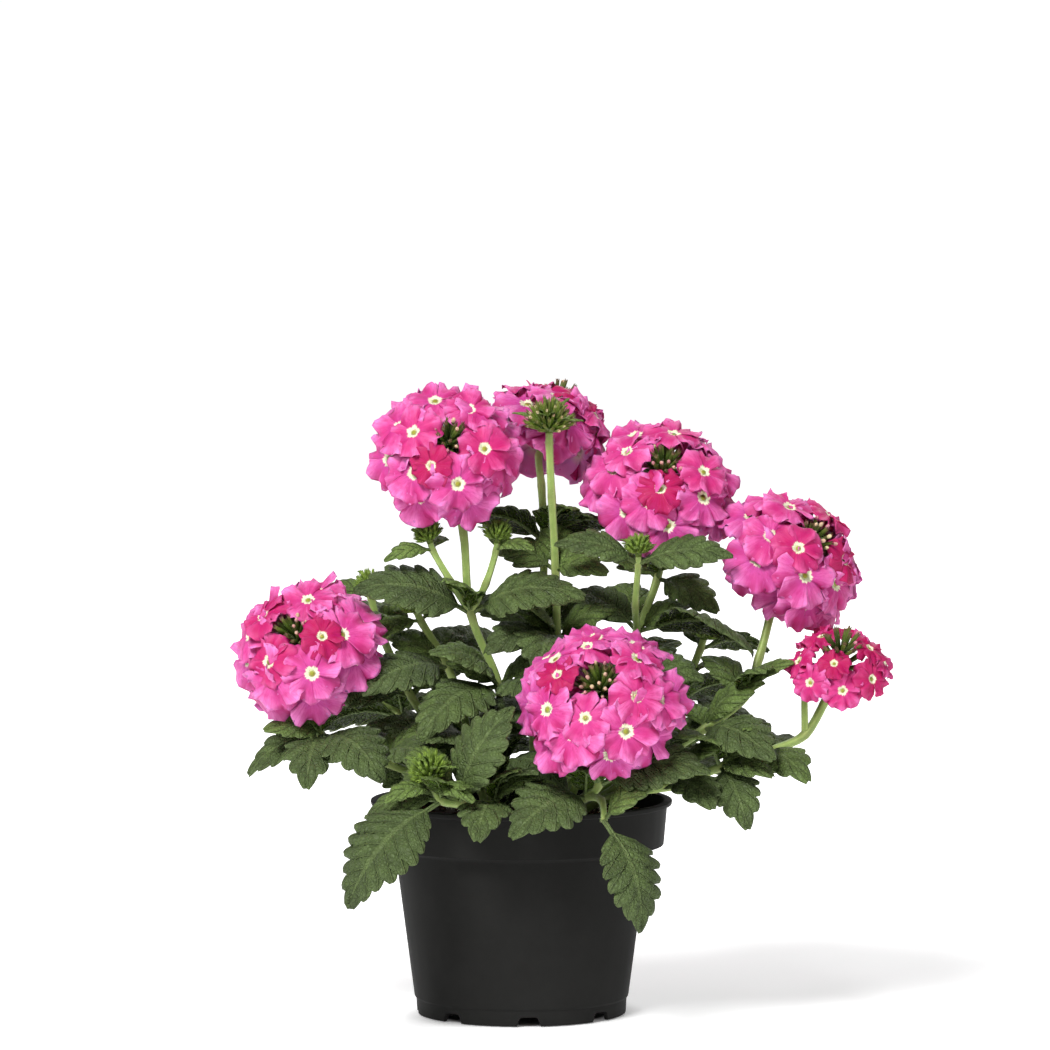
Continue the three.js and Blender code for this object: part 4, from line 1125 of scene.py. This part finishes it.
# Green calyx with sticky hairs: painted shade darkens it at its foot, fresher green above, and it is
# brown at its teeth where the florets round it are open.
place = add_node(tree, "TexCoord").outputs["Object"]
told = add_node(tree, "Attribute", attribute_name="calyx").outputs["Vector"]
along, tone, browned = add_node(tree, "SeparateXYZ", [told]).outputs
streak = add_node(tree, "TexNoise", {"Vector": place, "Scale": 700.0, "Detail": 3.0})
mottle = add_node(tree, "MapRange", [streak, 0.3, 0.7, 0.7, 1.2])
# Painted shade: darker towards the calyx's foot, among the other calyces.
foot_painted_shade = add_node(tree, "MapRange", [along, 0.0, 0.9, 0.5, 1.1])
mottle = add_node(tree, "Math", [mottle, foot_painted_shade], operation="MULTIPLY")
tip = add_node(tree, "MapRange", [along, 0.55, 1.0, 0.0, 1.0])
tip = add_node(tree, "Math", [tip, browned], operation="MULTIPLY")
colour = add_node(tree, "Mix", {0: tone, 6: linear("#86A23E"), 7: linear("#3E4F24")}, data_type="RGBA")
colour = add_node(tree, "Mix", {0: 1.0, 6: colour, 7: mottle}, data_type="RGBA", blend_type="MULTIPLY")
colour = add_node(tree, "Mix", {0: tip, 6: colour, 7: linear("#6A4038")}, data_type="RGBA")
bump = add_node(tree, "Bump", {"Height": streak, "Strength": 0.4, "Distance": 0.0003})
shader = add_node(tree, "BsdfPrincipled", {
    "Base Color": colour, "Roughness": 0.5, "IOR": 1.42, "Specular IOR Level": 0.35, "Normal": bump})
add_node(tree, "OutputMaterial", [shader])

bud_skin, tree = new_material("closed_petal_skin")
# Folded lobes of a floret that is yet to open, each bud in its own tone from cream to pink.
told = add_node(tree, "Attribute", attribute_name="calyx").outputs["Vector"]
flush = add_node(tree, "SeparateXYZ", [told]).outputs[1]
colour = add_node(tree, "Mix", {0: flush, 6: linear("#DCCB9C"), 7: linear("#CC7A92")}, data_type="RGBA")
shader = add_node(tree, "BsdfPrincipled", {
    "Base Color": colour, "Roughness": 0.45, "IOR": 1.4,
    "Subsurface Weight": 0.25, "Subsurface Radius": (1.0, 0.5, 0.5), "Subsurface Scale": 0.0008})
add_node(tree, "OutputMaterial", [shader])


def head_sides(facing):
    """A head's axis, and the two directions across it."""
    axis = head_axis(facing)
    first = unit(np.cross(UP, axis))
    return axis, first, np.cross(axis, first)


def grow_floret(growth, centre, face, up, radius, age, dice):
    """Five notched, ruffled lobes round a sunken throat, facing along face.

    A point's values are its reach from the throat, its place across the lobe, and the floret's
    age in steps plus how far the point stands on a ridge or in a fold, from 0 to 1. The petal
    colour paints a highlight on the ridges and shade in the folds from it.
    """
    up = unit(up - face * np.dot(up, face))
    right = np.cross(up, face)
    age_step = round(AGE_STEPS * age)
    s, t = np.meshgrid(np.array([0, 0.1, 0.24, 0.42, 0.6, 0.77, 0.90, 1.0]),
                       np.linspace(-1, 1, LOBE_STEPS + 1), indexing="ij")
    cup = 0.16 - 0.10 * age + 0.14 * (next(dice) - 0.5)
    first = next(dice) * 2 * math.pi
    for lobe in range(LOBES):
        heading = first + 2 * math.pi * lobe / LOBES + (next(dice) - 0.5) * 0.14
        size = radius * (0.93 + 0.12 * next(dice))
        notch = 0.10 + 0.10 * next(dice)
        ruffle, sway = 0.10 + 0.09 * next(dice), next(dice) * 6.3
        lift = (next(dice) - 0.5) * 0.24

        # The lobe's plan: a round end with a notch, on a narrow foot at the throat's edge.
        tip = 0.55 + 0.45 * np.cos(1.75 * t) - notch * np.exp(-(t / 0.17) ** 2) + 0.02 * np.sin(9 * t + sway)
        along = size * (THROAT_RADIUS / radius + (tip - THROAT_RADIUS / radius) * s)
        side = size * (LOBE_FOOT_SHARE * t * (1 - s) + LOBE_WIDTH_SHARE * np.sin(1.75 * t) * s)

        # Its height: it rises from the throat, cups, rolls back, ruffles towards its end, laps
        # over its neighbour on one side, is grooved along its middle, and is crumpled all over.
        ruffles = ruffle * np.sin(3.8 * t + sway) * (0.4 + np.abs(t))
        frill = 0.10 * s ** 2 * np.sin(9.5 * t + 2 * sway)
        height = (-0.13 * np.clip(1 - s / 0.14, 0, 1) ** 1.5 + cup * s - (cup + 0.12) * s ** 2.2
                  + lift * s ** 1.5 + s ** 2 * (ruffles + frill) + 0.11 * t * s
                  - 0.06 * np.exp(-(t / 0.22) ** 2) * s - 0.09 * np.abs(t) ** 2.2 * s) * size
        crumple = (0.65 * np.sin(1.15 * along + 6 * lift * side + sway) * np.sin(1.3 * side + 3 * sway)
                   + 0.28 * np.sin(2.1 * along - sway) * np.sin(2.4 * side + 5 * sway))
        height += crumple * s ** 1.3
        # Ridge or fold, from 0 to 1, for the painted highlight and shade of the petal colour.
        fold = np.clip(0.5 + 3.6 * (ruffles + frill + crumple / size) * s ** 1.3, 0.01, 0.99)

        outward = up * math.cos(heading) + right * math.sin(heading)
        sideways = -up * math.sin(heading) + right * math.cos(heading)
        grid = centre + along[..., None] * outward + side[..., None] * sideways + height[..., None] * face
        points, faces, top = sheet(grid, PETAL_THICKNESS)
        values = np.stack([np.hypot(along, side) / radius, t, age_step + fold], axis=-1).reshape(-1, 3)
        growth.add(points, faces, [0] * top + [1] * (len(faces) - top), np.concatenate([values, values]))

    # A button of hairs closes the throat, a little below the lobes.
    mouth = centre - face * THROAT_DEPTH
    points = [mouth + BUTTON_SHARE * radius * (x * up + y * right) for x, y in round_section(BUTTON_SIDES)]
    points += [mouth - face * 0.25, mouth - face * 1.2]
    faces = [(j, (j + 1) % BUTTON_SIDES, BUTTON_SIDES) for j in range(BUTTON_SIDES)]
    faces += [((j + 1) % BUTTON_SIDES, j, BUTTON_SIDES + 1) for j in range(BUTTON_SIDES)]
    values = [(0.095, 0, age_step + 0.5)] * BUTTON_SIDES + [(0.0, 0, age_step + 0.5)] * 2
    growth.add(points, faces, 0, values)


def bent(start, knee, end, steps):
    """Points along a single smooth bend."""
    t = np.linspace(0, 1, steps)[:, None]
    return (1 - t) ** 2 * start + 2 * t * (1 - t) * knee + t ** 2 * end


def grow_calyx(growth, path, radius, tone, browned, dice, spike=1.0):
    """A narrow hairy cup along a path, which ends in five narrow teeth round a closed mouth.

    A point's values are its place from foot to tip, the calyx's tone, and how far its tip browns.
    """
    n, count = CALYX_SIDES, len(path)
    swell = radius * np.interp(np.arange(count) / (count - 1), [0, 0.3, 0.8, 1], [0.55, 0.95, 1.0, 0.92])
    points, faces = tube(path, swell, round_section(n))
    faces.pop()
    way = unit(path[-1] - path[-2])
    middle, last = path[-1], points[-n:]
    peaks = []
    for j in range(n):
        if j % 2 == 0:
            length = spike * (1.5 + 0.9 * next(dice)) * radius
            splay = (last[j] - middle) * (next(dice) * 0.5 - 0.15)
            peaks.append(last[j] + way * length + splay)
        else:
            peaks.append(last[j] + way * 0.1 * radius)
    base = len(points)
    points = np.concatenate([points, peaks, [middle - way * 0.5 * radius]])
    for j in range(n):
        after = (j + 1) % n
        faces.append((base - n + j, base - n + after, base + after, base + j))
        faces.append((base + j, base + after, base + n))
    values = np.full((len(points), 3), (0.0, tone, browned))
    values[:base, 0] = np.repeat(np.linspace(0, 0.7, count), n)
    values[base:base + n, 0] = [1.0, 0.75] * (n // 2)
    values[base + n, 0] = 0.9
    growth.add(points, faces, 0, values)
    for _ in range(CALYX_HAIRS):
        k = 1 + int(next(dice) * (count - 2))
        foot = points[k * n + int(next(dice) * n)]
        way = unit(foot - path[k] + 0.4 * radius * scatter(dice))
        hair(growth, foot, way, HAIR_LENGTH * (0.4 + 0.6 * next(dice)), HAIR_WIDTH, 2, (0, tone, 0))


def grow_bud(growth, centre, way, size, flush):
    """A closed floret: a small egg of folded lobes."""
    heights = np.array([-1.6, -0.6, 0.3, 1.0, 1.4])
    path = centre + heights[:, None] * way * size * 1.15
    points, faces = tube(path, size * np.array([0.35, 0.8, 1.0, 0.62, 0.12]), round_section(8))
    growth.add(points, faces, 1, (0.5, flush, 0))


def grow_head(head, rings, dice):
    """One head: its florets as one piece, and its spindle, calyces and closed buds as another."""
    centre = np.array(head["at"], dtype=float)
    axis, first, second = head_sides(head["facing"])
    florets, greens = Growth(), Growth()
    young = rings[1] == 0
    reach = head["radius"]
    floret_radius = YOUNG_FLORET_RADIUS if young else FLORET_RADIUS
    smallest_ring = SMALLEST_YOUNG_RING if young else SMALLEST_RING
    fullness = 1 if young else (reach / OPEN_HEAD_RADIUS) ** 0.8

    foot = centre - axis * (HEAD_STALK_LENGTH + 0.6)
    spindle = bent(foot, centre - axis * 4, centre + axis * 3, SPINDLE_STEPS)
    points, faces = tube(spindle, SPINDLE_RADIUS * np.linspace(0.75, 0.7, SPINDLE_STEPS), stem_section)
    greens.add(points, faces, 0, (0.1, 0.2, 0.0))

    for count, spread, rise, lean, age, size in YOUNG_RINGS if young else OPEN_RINGS:
        start = next(dice) * 6.3
        count = max(3, round(count * fullness))
        for k in range(count):
            angle = start + 2 * math.pi * (k + (next(dice) - 0.5) * 0.35) / count
            radial = first * math.cos(angle) + second * math.sin(angle)
            radius = floret_radius * size * (0.94 + 0.12 * next(dice))
            out = max(spread * reach, smallest_ring) + (next(dice) - 0.5) * 1.6
            place = centre + radial * out + axis * (rise + (next(dice) - 0.5) * 2.0)
            tilt = math.radians(lean + (next(dice) - 0.5) * 16)
            face = unit(radial * math.sin(tilt) + axis * math.cos(tilt) + 0.16 * scatter(dice))
            shade = min(max(age + (next(dice) - 0.5) * 0.34, 0), 1)

            # One floret of the inmost ring has only just opened.
            if not young and rise > 10 and k == 1:
                shade, radius = 0.0, radius * 0.85
            grow_floret(florets, place, face, axis + 0.01 * first, radius, shade, dice)

            # The tube bends up from its calyx on the spindle to the back of the throat.
            foot = centre + axis * np.interp(rise, [-7, 13], [-7.5, 1.5]) + radial * SPINDLE_RADIUS * 0.7
            back = place - face * 0.10 * radius
            knee = foot + radial * 7 + axis * np.interp(rise, [-7, 13], [1.0, 5.0])
            route = bent(foot, knee, back, ROUTE_STEPS)
            travelled = np.concatenate([[0], np.cumsum(np.linalg.norm(np.diff(route, axis=0), axis=1))])
            sheath = int(np.searchsorted(travelled, min(CALYX_LENGTH, travelled[-1] * 0.62)))
            cup = route[:sheath + 1][::2] if sheath > 6 else route[:sheath + 1]
            grow_calyx(greens, cup, CALYX_RADIUS, 0.35 + 0.4 * next(dice), 0.5, dice)
            radii = TUBE_RADIUS * np.linspace(0.8, 1.12, len(route) - sheath + 1)
            points, faces = tube(route[sheath - 1:], radii, round_section(TUBE_SIDES))
            values = np.full((len(points), 3), (0.0, 0.0, round(AGE_STEPS * shade) + 0.5))
            values[:-TUBE_SIDES, 0] = np.repeat(np.linspace(0.0, 0.35, len(radii))[:-1], TUBE_SIDES)
            florets.add(points, faces, [1] * (len(faces) - 1) + [0], values)

    # Unopened calyces crowd the middle of the head, some with a closed bud in their mouth.
    crowd = YOUNG_CENTRE_CALYCES if young else CENTRE_CALYCES
    for k in range(crowd):
        tilt = math.radians(4 + 42 * math.sqrt((k + 0.5) / crowd))
        angle = k * GOLDEN_TURN
        radial = first * math.cos(angle) + second * math.sin(angle)
        way = unit(radial * math.sin(tilt) + axis * math.cos(tilt))
        foot = centre + axis * (5.2 - 3.6 * k / crowd) + radial * 0.8
        length = CENTRE_CALYX_LENGTH * (0.82 + 0.28 * next(dice)) * (1 - 0.14 * k / crowd)
        route = bent(foot, foot + way * length * 0.5 + axis * 0.6, foot + way * length, 5)
        grow_calyx(greens, route, CENTRE_CALYX_RADIUS, 0.4 + 0.55 * next(dice), 1.0, dice)
        if next(dice) < BUD_CHANCE:
            grow_bud(greens, foot + way * (length + 0.8), way, 0.65 + 0.3 * next(dice), next(dice))

    bloom = florets.piece("florets_" + head["name"] + "_open", [petal, petal_back], "floret")
    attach(bloom, "root")
    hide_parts("florets_" + head["name"])
    green = greens.piece("calyces_" + head["name"] + "_cluster", [calyx_skin, bud_skin, down], "calyx")
    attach(green, "root")
    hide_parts("calyces_" + head["name"])


dice = random_stream(41)
for stem in STEMS.values():
    if "head" in stem:
        grow_head(stem["head"], stem["rings"], dice)


# ---------------------------------------------------------------- heads of closed buds
# A head before it opens: a dome of crowded calyces on the tip of the stem, with small bracts
# below. The tallest head shows cream and pink in a few mouths. The rest are still all green.

BUD_CALYX_RADIUS = 0.62
BUD_CALYX_SPIKE = 1.7
SHOWING_HEAD = "tall"
SHOWING_CHANCE = 0.4


def grow_bud_head(buds, foot, dice):
    """Calyces that fan out from the tip of the stem, the longest at the middle of the dome."""
    axis, first, second = head_sides(buds["facing"])
    size = buds["radius"]
    greens = Growth()
    spindle = bent(foot - axis * 1.0, foot, foot + axis * size * 0.35, 4)
    points, faces = tube(spindle, np.array([1.3, 1.4, 1.2, 0.7]), stem_section)
    greens.add(points, faces, 0, (0.1, 0.2, 0.0))
    count = int(20 + 4.2 * size)
    showing = buds["name"] == SHOWING_HEAD
    browned = 0.6 if showing else 0.0
    calyx_radius = BUD_CALYX_RADIUS * (0.8 + size * 0.03)
    for k in range(count):
        tilt = math.radians(4 + 88 * ((k + 0.5) / count) ** 0.62)
        angle = k * GOLDEN_TURN
        radial = first * math.cos(angle) + second * math.sin(angle)
        way = unit(radial * math.sin(tilt) + axis * math.cos(tilt))
        length = size * (0.92 + 0.22 * next(dice)) * (0.86 + 0.14 * math.cos(tilt))
        start = foot + axis * size * 0.12
        knee, end = start + way * length * 0.5 + radial * 0.4, start + way * length * 0.86 + axis * 0.9
        tone = 0.1 + 0.5 * next(dice)
        grow_calyx(greens, bent(start, knee, end, 5), calyx_radius, tone, browned, dice, BUD_CALYX_SPIKE)
        if showing and next(dice) < SHOWING_CHANCE:
            grow_bud(greens, end + way * 0.5, way, 0.55 + 0.2 * next(dice), next(dice))
    green = greens.piece("buds_" + buds["name"] + "_closed", [calyx_skin, bud_skin, down], "calyx")
    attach(green, "root")
    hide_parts("buds_" + buds["name"])


dice = random_stream(63)
for stem in STEMS.values():
    for shoot in [stem] + stem.get("shoots", []):
        if "buds" in shoot:
            grow_bud_head(shoot["buds"], bud_feet[shoot["buds"]["name"]], dice)


# ---------------------------------------------------------------- studio
# A white table that glows as painted light, before a white backdrop, in a room that is dimmer
# elsewhere. A large window-like light stands high on the front left, a weak one on the right, and
# one behind rims the leaves.

FLOOR_RADIUS = 40000.0
FLOOR_SIDES = 64
UNDER_POT = 0.0003
LIGHTS_AIM = Vector((0, 0, 0.14))

white, tree = new_material("white_table_painted_glow")
# A white acrylic table that glows as painted light, more strongly towards the back, so that shadows
# fade out. A painted shadow leaves it dark under the pot's foot.
place = add_node(tree, "TexCoord").outputs["Object"]
distance = add_node(tree, "VectorMath", [place], operation="LENGTH")
depth = add_node(tree, "SeparateXYZ", [place]).outputs[1]
# Painted light: the table glows, more strongly towards the back.
glow = add_node(tree, "MapRange", [depth, 0.05, 0.7, 0.46, 0.95])
# Painted shadow: no glow under the pot's foot.
glow_with_painted_shadow = add_node(tree, "MapRange", [distance, 0.034, 0.050, 0.0, 1.0])
glow_with_painted_shadow = add_node(tree, "Math", [glow_with_painted_shadow, glow], operation="MULTIPLY")
shader = add_node(tree, "BsdfPrincipled", {
    "Base Color": linear("#F4F4F4"), "Roughness": 0.9,
    "Emission Color": (1.0, 1.0, 1.0, 1.0), "Emission Strength": glow_with_painted_shadow})
add_node(tree, "OutputMaterial", [shader])

rim = []
for k in range(FLOOR_SIDES):
    angle = k * math.pi / (FLOOR_SIDES / 2)
    rim.append((FLOOR_RADIUS * math.cos(angle), FLOOR_RADIUS * math.sin(angle), 0))
studio_floor = mesh_piece("studio_floor", rim, [tuple(range(FLOOR_SIDES))], [white])
studio_floor.location.z = -UNDER_POT

# The backdrop is white up to a low height, and the rest of the room gives a third of its light.
world = bpy.data.worlds.new("soft_white_sky")
bpy.context.scene.world = world
world.use_nodes = True
sky = world.node_tree
place = add_node(sky, "TexCoord").outputs["Generated"]
back, height = add_node(sky, "SeparateXYZ", [place]).outputs[1:3]
wall = add_node(sky, "MapRange", [height, 0.14, 0.55, 1.02, 0.22])
room = add_node(sky, "MapRange", [back, 0.82, 0.97, 0.3, 1.0])
strength = add_node(sky, "Math", [wall, room], operation="MULTIPLY")
sky.links.new(strength.outputs[0], sky.nodes["Background"].inputs["Strength"])
sky.nodes["Background"].inputs["Color"].default_value = (1.0, 1.0, 1.0, 1.0)

for name, spot, size, watts in (
    ("window_front_left", (-0.9, -1.7, 2.1), 1.1, 88.0),
    ("panel_front_right", (1.7, -1.3, 0.9), 1.2, 6.0),
    ("panel_behind", (0.6, 1.8, 1.6), 1.2, 16.0),
):
    panel = bpy.data.lights.new(name, "AREA")
    panel.shape = "DISK"
    panel.size = size
    panel.energy = watts
    lamp = bpy.data.objects.new(name, panel)
    bpy.context.collection.objects.link(lamp)
    lamp.location = spot
    lamp.rotation_euler = (LIGHTS_AIM - Vector(spot)).to_track_quat("-Z", "Y").to_euler()
    lamp.visible_camera = False

bpy.context.scene.view_settings.view_transform = "Standard"
